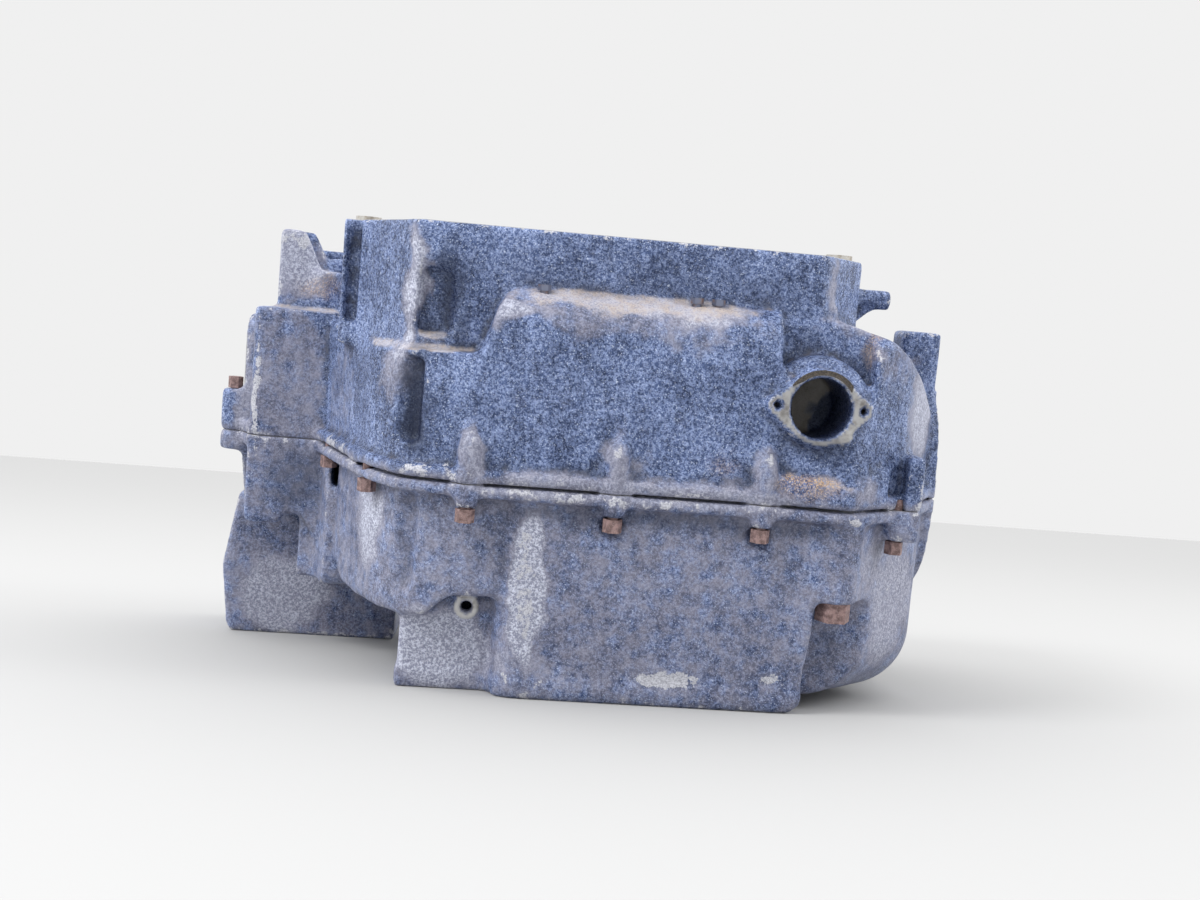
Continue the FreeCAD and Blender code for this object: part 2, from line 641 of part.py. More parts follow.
def lower_outside():
    """Outer form of the lower case, with flanges, bosses and feet."""
    drum_front = [(-178, 0, 0), (-168, -94, 26), (-112, -103, 0), (-50, -103, 0), (-50, 0, 0)]
    drum_side = [
        (-90, 0, 0), (-86, -82, 20), (-50, -87, 20), (5, DRUM_BOTTOM_Z, 20), (75, DRUM_BOTTOM_Z, 10),
        (75, 0, 0),
    ]
    drum = prism(drum_front, "XZ", -90, 75).common(prism(drum_side, "YZ", -200, -50))
    drum = drum.common(prism(DRUM_PLAN, "XY", -110, 0)).cut(drum_lobe())
    middle = prism(SUMP_PLAN, "XY", -170, 0).common(sump_front())
    end = lower_end()
    rear_side = [(60, 0, 0), (60, REAR_BOTTOM_Z, 10), (212, REAR_BOTTOM_Z, 36), (244, -44, 26), (244, 0, 0)]
    rear = prism(rear_side, "YZ", -200, RIGHT_X - 10).common(prism(WALL_PLAN, "XY", -130, 0))
    drive = prism(inset(DRIVE_SIDE, 4), "YZ", 150, RIGHT_X - 8).common(box(140, 240, -20, 260, -140, 0))
    drive_flange = prism(DRIVE_SIDE, "YZ", RIGHT_X - 11, RIGHT_X).common(box(140, 240, -20, 260, -140, 0))
    clutch = prism(inset(CLUTCH_SIDE, 3), "YZ", LEFT_X, CLUTCH_FLOOR_X - 10)
    clutch_flange = prism(CLUTCH_SIDE, "YZ", LEFT_X, LEFT_X + 9)
    clutch = fuse([clutch, clutch_flange]).common(box(-260, -140, 70, 249, -80, 0))
    plate_front = [
        (-238, 0, 0), (-238, -62, 5), (-214, -62, 2), (-211, -55, 2), (-198, -55, 4), (-172, -92, 4),
        (-172, 0, 0),
    ]
    plate = prism(plate_front, "XZ", 79, 95)
    flange = prism(SEAM, "XY", -FLANGE_T, 0)
    rim = prism(inset(SUMP_PLAN, -1.5), "XY", -170, -60).common(sump_slab(SUMP_FACE_T)).common(sump_front())
    return fuse([
        drum, middle, end, rear, drive, drive_flange, clutch, plate, flange, rim, *lower_bosses(), *feet(),
    ])


def lower_bosses():
    """Bolt bosses under the parting flange and the column of the large bolt."""
    parts = []
    for x, y in SEAM_BOLTS_FRONT[:3]:
        parts.append(rod(SEAM_BOSS_R, (x, y, 0), (x, y, -SEAM_BOSS_DEPTH)))
    parts.append(box(188, 199, -69, -38, -20, 0))
    x, y = SEAM_BOLTS_FRONT[3]
    parts.append(rod(SEAM_BOSS_R, (x, y, 0), (x, y, -20)))
    for x, y in SEAM_BOLTS_REAR:
        parts.append(rod(SEAM_BOSS_R, (x, y, 0), (x, y, -26)))
    x, y = BIG_BOLT_X, BIG_BOLT_Y
    parts.append(rod(BIG_BOLT_R + 8, (x, y, -FLANGE_T), (x, y, BIG_BOLT_SEAT_Z)))
    parts += side_lug(SIDE_LUG_BOTTOM, 0)
    parts.append(rod(DRAIN_RING_R, (DRAIN_X, -64, DRAIN_Z), (DRAIN_X, -40, DRAIN_Z)))
    return parts


def feet():
    """Rear mounting feet that reach down to the level of the sump face."""
    left_low = [(-262, -101, 4), (-257, -150, 12), (-246, -172, 0), (-130, -172, 0), (-130, -101, 0)]
    left_high = [(-252, -50, 0), (-261, -101, 0), (-131, -101, 0), (-131, -50, 0)]
    right = [(110, -60, 0), (196, -60, 0), (196, -120, 25), (186, -172, 0), (110, -172, 0)]
    return [
        prism(left_low, "XZ", FOOT_FRONT_Y, FOOT_REAR_Y),
        prism(left_high, "XZ", FOOT_FRONT_Y + 1, FOOT_REAR_Y - 1),
        prism(right, "XZ", FOOT_FRONT_Y + 12, FOOT_REAR_Y),
    ]


def foot_pockets():
    """Hollows of the feet, open to the rear."""
    left = [(-250, -112, 6), (-246, -146, 6), (-142, -146, 6), (-142, -112, 6)]
    right = [(122, -112, 6), (184, -112, 6), (176, -146, 6), (122, -146, 6)]
    return [
        prism(left, "XZ", FOOT_FRONT_Y + 10, FOOT_REAR_Y + 1),
        prism(right, "XZ", FOOT_FRONT_Y + 22, FOOT_REAR_Y + 1),
    ]


def lower_inside():
    """Rooms, bores and openings to cut from the lower case, in order."""
    cuts = [crank_bay(x, True) for x in cylinder_xs()]
    plan = end_room_plan()
    drum_room = prism(inset(SEAM, 2 * FLANGE_LIP + WALL), "XY", DRUM_ROOM_Z, 1)
    cuts.append(drum_room.common(box(-195, -END_WEB_X, -60, 72, DRUM_ROOM_Z, 1)))
    cuts.append(prism([(-176, 60, 0), (-152, 60, 0), (-152, 100, 0), (-176, 100, 0)], "XY", -30, 1))
    cuts.append(rod(CLUTCH_R, (LEFT_X - 1, CLUTCH_Y, CLUTCH_Z), (CLUTCH_FLOOR_X, CLUTCH_Y, CLUTCH_Z)))
    cuts.append(rod(CASSETTE_R, (CLUTCH_FLOOR_X - 1, CASSETTE_Y, CASSETTE_Z),
                    (GEARBOX_LEFT_X + 1, CASSETTE_Y, CASSETTE_Z)))
    gear_side = [
        (GEARBOX_FRONT_Y, 1, 0), (GEARBOX_FRONT_Y, REAR_BOTTOM_Z + 10, 12), (206, REAR_BOTTOM_Z + 10, 32),
        (GEARBOX_REAR_Y, -40, 24), (GEARBOX_REAR_Y, 1, 0),
    ]
    cuts.append(prism(gear_side, "YZ", GEARBOX_LEFT_X, GEARBOX_RIGHT_X))
    cuts.append(rod(INPUT_R, (GEARBOX_RIGHT_X - 1, CLUTCH_Y, CLUTCH_Z),
                    (GEARBOX_RIGHT_X + SIDE_WALL + 1, CLUTCH_Y, CLUTCH_Z)))
    cuts.append(rod(OUTPUT_R, (GEARBOX_RIGHT_X - 1, OUTPUT_Y, OUTPUT_Z),
                    (GEARBOX_RIGHT_X + SIDE_WALL + 1, OUTPUT_Y, OUTPUT_Z)))
    cuts.append(prism(inset(DRIVE_SIDE, 14), "YZ", GEARBOX_RIGHT_X + SIDE_WALL, RIGHT_X + 1))
    side = [(-76, 1, 0), (-76, -44, 8), (-50, -60, 8), (-50, -118, 12), (60, -118, 12), (60, 1, 0)]
    front = [
        (END_WEB_X + END_WEB_EXTRA, 1, 0), (END_WEB_X + END_WEB_EXTRA, -118, 6), (190, -118, 25),
        (211, -88, 25), (222, 1, 0),
    ]
    room = prism(plan, "XY", -130, 1).common(prism(side, "YZ", 140, 225)).common(prism(front, "XZ", -80, 60))
    cuts.append(room.common(fuse([lower_end(WALL), prism(inset(END_PLAN, WALL), "XY", -10, 1)])))
    oil_room = prism(inset(SUMP_PLAN, SUMP_WALL), "XY", -175, MAIN_BOLT_SEAT_Z)
    oil_front = [
        (-140, -175, 0), (SUMP_RIGHT_X - 12, -175, 0), (SUMP_RIGHT_X - 12, -130, 0), (128, -108, 0),
        (140, -108, 0), (140, 0, 0), (-140, 0, 0),
    ]
    oil_room = oil_room.common(prism(oil_front, "XZ", -110, 120))
    cuts.append(oil_room.cut(ground_block(SUMP_FACE_T)))
    mouth = prism(inset(SUMP_PLAN, SUMP_FACE_WIDTH), "XY", -175, MAIN_BOLT_SEAT_Z - 20)
    cuts.append(mouth.common(box(-140, SUMP_ROOM_RIGHT_X, -110, 120, -175, -60)))
    recess = [(134, BIG_BOLT_SEAT_Z, 0), (131, -125, 0), (182, -125, 0), (182, BIG_BOLT_SEAT_Z, 6)]
    cuts.append(prism(recess, "XZ", -110, -62))
    cuts.append(groove())
    cuts += foot_pockets()
    for x, y in SEAM_BOLTS_FRONT[:3]:
        cuts.append(rod(8, (x, y, -SEAM_BOSS_DEPTH - 12), (x, y, -SEAM_BOSS_DEPTH)))
    for x, y in SEAM_BOLTS_CORNER:
        cuts.append(rod(8, (x, y, -FLANGE_T - 12), (x, y, -FLANGE_T)))
    x, y = SEAM_BOLTS_FRONT[3]
    cuts.append(rod(8, (x, y, -32), (x, y, -20)))
    for x, y in SEAM_BOLTS_REAR:
        cuts.append(rod(8, (x, y, -40), (x, y, -26)))
    return cuts


def groove():
    """Upright round-ended groove in the curved front corner."""
    x, y = -119.0, -66.0
    return fuse([
        rod(9, (x, y, -64), (x, y, -FLANGE_T - 3)),
        Part.makeSphere(9, Vector(x, y, -64)),
    ])


def on_sump_face(x, y):
    """The point of the sump face at plan position x, y."""
    tilt = math.radians(SUMP_TILT)
    return Vector(x, y, (-SUMP_DEPTH - y * math.sin(tilt)) / math.cos(tilt))


def sump_holes():
    """Threaded holes square to the sump face, in the middle of its rim."""
    left = SUMP_PLAN[0][0] + SUMP_HOLE_INSET
    right = SUMP_RIGHT_X - SUMP_HOLE_INSET
    front = BULGE_Y + SUMP_HOLE_INSET
    rear = SUMP_PLAN[5][1] - SUMP_HOLE_INSET
    places = [(x, y) for x in (left, right) for y in SUMP_SIDE_HOLES_Y]
    places += [(x, y) for x in SUMP_END_HOLES_X for y in (front, rear)]
    tilt = math.radians(SUMP_TILT)
    upward = Vector(0, math.sin(tilt), math.cos(tilt))
    return [
        Part.makeCylinder(SUMP_HOLE_R, SUMP_HOLE_DEPTH + 1, on_sump_face(x, y) - upward, upward)
        for x, y in places
    ]


def make_lower_case():
    """Lower casting with bearing webs, gearbox floor and sump walls."""
    case = lower_outside()
    for room in lower_inside():
        case = case.cut(room)
    case = case.cut(ground_block())
    case = case.cut(seam_relief(False))
    keep = [
        rod(BIG_BOLT_R + 6, (BIG_BOLT_X, BIG_BOLT_Y, BIG_BOLT_SEAT_Z), (BIG_BOLT_X, BIG_BOLT_Y, 0)),
    ]
    case = fuse([case, *keep])
    holes = [rod(MAIN_BORE_R, (-END_WEB_X, 0, 0), (END_WEB_X + END_WEB_EXTRA, 0, 0))]
    for x, y in SEAM_BOLTS_FRONT + SEAM_BOLTS_CORNER + SEAM_BOLTS_REAR:
        holes.append(rod(SEAM_BOLT_R + HOLE_FIT, (x, y, -27), (x, y, 1)))
    for x, y in main_bolt_places():
        holes.append(rod(MAIN_BOLT_R + HOLE_FIT, (x, y, MAIN_BOLT_SEAT_Z - 1), (x, y, 1)))
        if abs(x) > CYLINDER_PITCH:
            holes.append(rod(MAIN_BOLT_ACCESS_R, (x, y, -170), (x, y, MAIN_BOLT_SEAT_Z)))
    x, y = BIG_BOLT_X, BIG_BOLT_Y
    holes.append(rod(BIG_BOLT_R + HOLE_FIT, (x, y, BIG_BOLT_SEAT_Z - 1), (x, y, 1)))
    holes.append(rod(SEAM_BOLT_R, (SIDE_LUG_X, SIDE_LUG_Y, -10), (SIDE_LUG_X, SIDE_LUG_Y, 1)))
    holes.append(rod(DRAIN_HOLE_R, (DRAIN_X, -66, DRAIN_Z), (DRAIN_X, -46, DRAIN_Z)))
    holes += [rod(CASE_DOWEL_R, (x, y, -CASE_DOWEL_SEAT), (x, y, 1)) for x, y in CASE_DOWELS]
    holes += sump_holes()
    for hole in holes:
        case = case.cut(hole)
    return case.removeSplitter()


def make_liner(x):
    """Wet cylinder liner with its collar in the deck and a thin lower tip."""
    bottom = BAY_TOP_Z - LINER_SPIGOT
    body = rod(LINER_R, (x, 0, bottom), (x, 0, DECK_Z))
    collar = rod(LINER_COLLAR_R, (x, 0, DECK_Z - LINER_COLLAR_H), (x, 0, DECK_Z))
    bore = rod(LINER_BORE_R, (x, 0, bottom - 1), (x, 0, DECK_Z + 1))
    return fuse([body, collar]).cut(bore)


def make_shell(x, upper):
    """One half of a plain main bearing."""
    width = SHELL_WIDTH / 2
    ring = rod(MAIN_BORE_R, (x - width, 0, 0), (x + width, 0, 0))
    ring = ring.cut(rod(SHELL_R, (x - width - 1, 0, 0), (x + width + 1, 0, 0)))
    half = box(x - 30, x + 30, -30, 30, 0, 30) if upper else box(x - 30, x + 30, -30, 30, -30, 0)
    return ring.common(half)


def seam_bolts(places, seat_z, reach=THREAD_REACH):
    """Hex bolts that come from below into the upper case."""
    return [
        bolt(x, y, seat_z, SEAM_BOLT_R, SEAM_BOLT_HEAD_AF, SEAM_BOLT_HEAD_H, reach - seat_z, -1)
        for x, y in places
    ]


def make_fasteners():
    """Every bolt group by node name."""
    front = seam_bolts(SEAM_BOLTS_FRONT[:3], -SEAM_BOSS_DEPTH)
    front += seam_bolts(SEAM_BOLTS_FRONT[3:], -20.0, FLANGE_REACH)
    mains = [
        bolt(x, y, MAIN_BOLT_SEAT_Z, MAIN_BOLT_R, 12.0, 8.0, 34 - MAIN_BOLT_SEAT_Z, -1)
        for x, y in main_bolt_places()
    ]
    x, y = BIG_BOLT_X, BIG_BOLT_Y
    big = bolt(x, y, BIG_BOLT_SEAT_Z, BIG_BOLT_R, BIG_BOLT_AF, 12.0, 20 - BIG_BOLT_SEAT_Z, -1)
    return {
        "front_seam_bolts": front,
        "corner_seam_bolts": seam_bolts(SEAM_BOLTS_CORNER, -FLANGE_T, FLANGE_REACH),
        "rear_seam_bolts": seam_bolts(SEAM_BOLTS_REAR, -26.0),
        "main_bearing_bolts": mains,
        "large_corner_bolt": [big],
        "side_lug_bolt": [bolt(SIDE_LUG_X, SIDE_LUG_Y, SIDE_LUG_TOP, SEAM_BOLT_R, 9.0, 8.0, 40, 1)],
        "front_stud_heads": [bolt(x, STUD_Y, BULGE_TOP_Z, STUD_R, 7.0, 3.5, STUD_REACH, 1) for x in STUD_XS],
    }


def make_dowels():
    """Deck dowels stand proud, case dowels sit half in each casting."""
    deck = []
    for x, y in DECK_DOWELS:
        outer = rod(DOWEL_R, (x, y, DECK_Z - DOWEL_SEAT), (x, y, DECK_Z + DOWEL_PROUD))
        deck.append(outer.cut(rod(DOWEL_R - 2, (x, y, 0), (x, y, DECK_Z + 10))))
    case = []
    for x, y in CASE_DOWELS:
        case.append(rod(CASE_DOWEL_R, (x, y, -CASE_DOWEL_SEAT), (x, y, CASE_DOWEL_SEAT)))
    return {"deck_dowels": deck, "case_dowels": case}


def make_gasket():
    """Torn piece of gasket left on the upper edge of the coolant port's flange."""
    x, z = PORT_X, PORT_Z
    ring = rod(PORT_FLANGE_R - 0.5, (x, PORT_Y - GASKET_T, z), (x, PORT_Y, z))
    ring = ring.cut(rod(PORT_R + 2.0, (x, PORT_Y - GASKET_T - 1, z), (x, PORT_Y + 1, z)))
    torn = [
        (x - 19, z + 12, 0), (x - 6, z + 19, 0), (x + 3, z + 17, 0), (x + 17, z + 11, 0),
        (x + 20, z + 30, 0), (x - 20, z + 30, 0),
    ]
    return ring.common(prism(torn, "XZ", PORT_Y - 5, PORT_Y + 5))


def write(name, solids):
    """Turn solids to the resting attitude and write them as one file."""
    turned = []
    for solid in solids:
        copy = solid.copy()
        copy.rotate(Vector(0, 0, 0), Vector(1, 0, 0), SUMP_TILT)
        turned.append(copy)
    shape = turned[0] if len(turned) == 1 else Part.makeCompound(turned)
    shape.exportStep(f"parts/{name}.step")
    return shape


def main():
    """Build every piece and write it."""
    os.makedirs("parts", exist_ok=True)
    pieces = {"upper_case": [make_upper_case()], "lower_case": [make_lower_case()]}
    for i, x in enumerate(cylinder_xs(), 1):
        pieces[f"cylinder_liner_{i}"] = [make_liner(x)]
    for i, x in enumerate(web_xs(), 1):
        pieces[f"main_shell_upper_{i}"] = [make_shell(x, True)]
        pieces[f"main_shell_lower_{i}"] = [make_shell(x, False)]
    pieces.update(make_fasteners())
    pieces.update(make_dowels())
    pieces["port_gasket_remnant"] = [make_gasket()]
    for name, solids in pieces.items():
        shape = write(name, solids)
        print(name, len(shape.Solids), shape.isValid(), round(shape.Volume / 1000, 1), "cm3")


main()
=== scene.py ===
import bpy
import bmesh
import math
import numpy as np
from mathutils import Matrix, Vector, noise
from mathutils.bvhtree import BVHTree


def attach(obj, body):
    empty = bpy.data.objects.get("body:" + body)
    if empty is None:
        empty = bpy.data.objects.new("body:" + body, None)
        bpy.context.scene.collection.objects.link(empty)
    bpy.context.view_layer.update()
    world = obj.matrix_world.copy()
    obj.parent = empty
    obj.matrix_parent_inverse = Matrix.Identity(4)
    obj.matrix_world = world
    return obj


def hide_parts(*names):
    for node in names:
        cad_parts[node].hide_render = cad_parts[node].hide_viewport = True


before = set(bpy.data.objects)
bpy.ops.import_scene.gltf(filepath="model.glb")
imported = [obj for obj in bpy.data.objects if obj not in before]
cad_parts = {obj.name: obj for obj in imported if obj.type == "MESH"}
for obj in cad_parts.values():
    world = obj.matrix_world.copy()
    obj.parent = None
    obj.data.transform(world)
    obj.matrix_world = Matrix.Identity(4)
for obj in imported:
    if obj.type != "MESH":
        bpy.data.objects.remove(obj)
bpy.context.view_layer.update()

# The castings are worked on in the case attitude, with the parting plane level, and turned back to the
# resting attitude at the end. Blender's lengths are metres; the numbers below are millimetres where they
# aren't multiplied by MM.
MM = 0.001
SUMP_TILT = math.radians(7.2)
TO_CASE = Matrix.Rotation(-SUMP_TILT, 4, "X")
TO_REST = Matrix.Rotation(SUMP_TILT, 4, "X")

# Camera: place in metres and angles, both in the case attitude, and the photograph's focal length.
CAMERA_PLACE = Vector((-0.07837, -0.83991, 0.10808))
CAMERA_YAW = math.radians(5.5)
CAMERA_PITCH = math.radians(6.2)
CAMERA_ROLL = math.radians(4.9)
SENSOR_WIDTH = 36.0
FOCAL_PIXELS = 1294.0
PHOTO_WIDTH = 1200.0

# Machined faces of the castings in the case attitude. The sump face is level in the resting attitude.
DECK_Z = 152.0
LEFT_X = -246.0
RIGHT_X = 232.0
SEAM_RELIEF = 1.0
SUMP_DEPTH = 138.0
GROUND_UP = np.array([0, math.sin(SUMP_TILT), math.cos(SUMP_TILT)])
# Axis number, place in metres and side that a machined plane faces, or 0 for both sides.
MACHINED_PLANES = [
    (2, DECK_Z * MM, 1),
    (2, 0.0, 0),
    (2, SEAM_RELIEF * MM, 0),
    (2, -SEAM_RELIEF * MM, 0),
    (0, LEFT_X * MM, -1),
    (0, RIGHT_X * MM, 1),
]

# Coolant port: centre of its flange face, and the reach of face and bore around it.
PORT = (123.4, -90.0, 60.5)
PORT_STRETCH = 1.45
PORT_FACE_REACH = 24.5
PORT_BORE_REACH = 19.5
PORT_BORE_DEPTH = 60

# Drain hole with its bright ring, and the clutch chamber, bare inside: y and z of its axis, reach, back.
DRAIN = (-77.0, -64.0, -79.0)
DRAIN_RING = (11, 2.5, 11)
CLUTCH_AXIS = (170.0, 6.0)
CLUTCH_REACH = 53.5
CLUTCH_BACK = -144.0

# Light: the sky's strength, dimmer in front of the part, and the pale tone of floor and backdrop.
SKY_LIGHT = 2.15
FRONT_LIGHT = 0.72
FRONT_WAY = (0.1, -1.0, 0.1)
BACKDROP = 0.871
FLOOR_COLOUR = (0.40, 0.40, 0.40)
FLOOR_REACH = 6.0

# Making of the cast surface: remeshing, rounding, slow waves and the size of the final mesh.
WELD = 2e-6
VOXEL = 1.9 * MM
ROUNDING = 0.55
ROUNDING_STEPS = 5
SOFTENING = 0.6
SOFT_STEPS = 26
WAVE_HEIGHT = 0.25 * MM
WAVE_LENGTH = 22 * MM
FACE_LIMIT = 185000

# Machined faces: how near to its plane and how square to it a vertex has to be, first to be put back on
# the plane, then to count as bare metal.
SNAP_REACH = 1.6 * MM
SEAM_REACH = 0.5 * MM
SNAP_FACING = 0.9
GROUND_FACING = 0.93
BARE_REACH = 0.3 * MM
BARE_FACING = 0.95
PORT_FACING = 0.92

# Painted fields: uneven outlines of patches, directions of the sky test, and blurring over the mesh.
PATCH_WAVE = 20 * MM
PATCH_FINE_WAVE = 0.35 * PATCH_WAVE
PATCH_SHIFT = 9 * MM
SHIFT_SHARE = 0.45
BLUR = 0.6
BULGE_STEPS = 8
SKY_STEPS = 4
SKY_RAYS = 14
SKY_REACH = 0.6
SKY_START = 0.8 * MM
GRAZING = 0.08
SEED = 11
noise.seed_set(SEED)


def camera_matrix():
    """World matrix of the camera in the resting attitude."""
    sin_y, cos_y = math.sin(CAMERA_YAW), math.cos(CAMERA_YAW)
    sin_p, cos_p = math.sin(CAMERA_PITCH), math.cos(CAMERA_PITCH)
    look = Vector((sin_y * cos_p, cos_y * cos_p, -sin_p))
    level = Vector((cos_y, -sin_y, 0))
    up = level.cross(look)
    cos_r, sin_r = math.cos(CAMERA_ROLL), math.sin(CAMERA_ROLL)
    right = level * cos_r + up * sin_r
    top = up * cos_r - level * sin_r
    turn = Matrix((right, top, -look)).transposed().to_4x4()
    return TO_REST @ Matrix.Translation(CAMERA_PLACE) @ turn


def add_camera():
    """Camera at the photograph's viewing angle."""
    data = bpy.data.cameras.new("camera")
    data.sensor_width = SENSOR_WIDTH
    data.lens = FOCAL_PIXELS * SENSOR_WIDTH / PHOTO_WIDTH
    data.clip_start = 0.05
    camera = bpy.data.objects.new("camera", data)
    bpy.context.scene.collection.objects.link(camera)
    camera.matrix_world = camera_matrix()
    bpy.context.scene.camera = camera


def area_light(name, place, size, power):
    """Soft square lamp that points at the part."""
    data = bpy.data.lights.new(name, "AREA")
    data.size = size
    data.energy = power
    lamp = bpy.data.objects.new(name, data)
    bpy.context.scene.collection.objects.link(lamp)
    lamp.location = place
    lamp.rotation_euler = (-Vector(place)).to_track_quat("-Z", "Y").to_euler()


class Shader:
    """Short way to write a material's nodes."""

    def __init__(self, name):
        self.material = bpy.data.materials.new(name)
        self.material.use_nodes = True
        self.tree = self.material.node_tree
        self.surface = self.tree.nodes["Principled BSDF"]
        self.place = self.add("ShaderNodeTexCoord").outputs["Object"]

    def add(self, kind, **settings):
        """New node with plain settings."""
        node = self.tree.nodes.new(kind)
        for key, value in settings.items():
            setattr(node, key, value)
        return node

    def wire(self, value, socket):
        """Connect an output, or write a plain value."""
        if isinstance(value, bpy.types.NodeSocket):
            self.tree.links.new(value, socket)
        elif hasattr(socket.default_value, "__len__") and hasattr(value, "__len__"):
            size = len(socket.default_value)
            socket.default_value = (tuple(value) + (1.0,))[:size]
        else:
            socket.default_value = value

    def noise(self, size, detail=3.0, rough=0.55, stretch=None):
        """Noise from 0 to 1 whose features are about this many metres across."""
        node = self.add("ShaderNodeTexNoise")
        node.inputs["Scale"].default_value = 1 / size
        node.inputs["Detail"].default_value = detail
        node.inputs["Roughness"].default_value = rough
        self.wire(self.stretched(stretch) if stretch else self.place, node.inputs["Vector"])
        return node.outputs["Fac"]

    def stretched(self, stretch):
        """Place on the object, scaled along its axes."""
        node = self.add("ShaderNodeMapping")
        self.wire(self.place, node.inputs["Vector"])
        node.inputs["Scale"].default_value = stretch
        return node.outputs["Vector"]

    def ramp(self, value, low, high, to_low=0.0, to_high=1.0):
        """Smooth step of a value between two limits."""
        node = self.add("ShaderNodeMapRange", interpolation_type="SMOOTHSTEP")
        self.wire(value, node.inputs["Value"])
        node.inputs["From Min"].default_value = low
        node.inputs["From Max"].default_value = high
        node.inputs["To Min"].default_value = to_low
        node.inputs["To Max"].default_value = to_high
        return node.outputs["Result"]

    def math(self, operation, a, b):
        node = self.add("ShaderNodeMath", operation=operation)
        self.wire(a, node.inputs[0])
        self.wire(b, node.inputs[1])
        return node.outputs[0]

    def product(self, a, b):
        return self.math("MULTIPLY", a, b)

    def larger(self, a, b):
        return self.math("MAXIMUM", a, b)

    def weighted(self, *terms):
        """Sum of values, each times its weight."""
        total = self.product(*terms[0])
        for value, weight in terms[1:]:
            total = self.math("ADD", total, self.product(value, weight))
        return total

    def frayed(self, value, texture, amount):
        """A value made uneven by a noise around its middle."""
        return self.math("ADD", value, self.product(self.math("SUBTRACT", texture, 0.5), amount))

    def mix(self, share, a, b):
        """Colour a, or b where the share is 1."""
        node = self.add("ShaderNodeMix", data_type="RGBA")
        self.wire(share, node.inputs["Factor"])
        self.wire(a, node.inputs[6])
        self.wire(b, node.inputs[7])
        return node.outputs[2]

    def blend(self, share, a, b):
        """Number a, or b where the share is 1."""
        node = self.add("ShaderNodeMix", data_type="FLOAT")
        self.wire(share, node.inputs["Factor"])
        self.wire(a, node.inputs[2])
        self.wire(b, node.inputs[3])
        return node.outputs[0]

    def attribute(self, name):
        """Field that is kept on the mesh's vertices."""
        node = self.add("ShaderNodeAttribute", attribute_name=name)
        return node.outputs["Fac"]

    def bump(self, height, depth, strength):
        """Normal of a fine relief, this many metres deep."""
        node = self.add("ShaderNodeBump")
        node.inputs["Distance"].default_value = depth
        self.wire(strength, node.inputs["Strength"])
        self.wire(height, node.inputs["Height"])
        return node.outputs["Normal"]

    def finish(self, colour, roughness, metallic=0.0, normal=None, **plain):
        """The material, with plain values on further sockets of its surface."""
        self.wire(colour, self.surface.inputs["Base Color"])
        self.wire(roughness, self.surface.inputs["Roughness"])
        self.wire(metallic, self.surface.inputs["Metallic"])
        if normal is not None:
            self.wire(normal, self.surface.inputs["Normal"])
        for key, value in plain.items():
            self.surface.inputs[key.replace("_", " ")].default_value = value
        return self.material


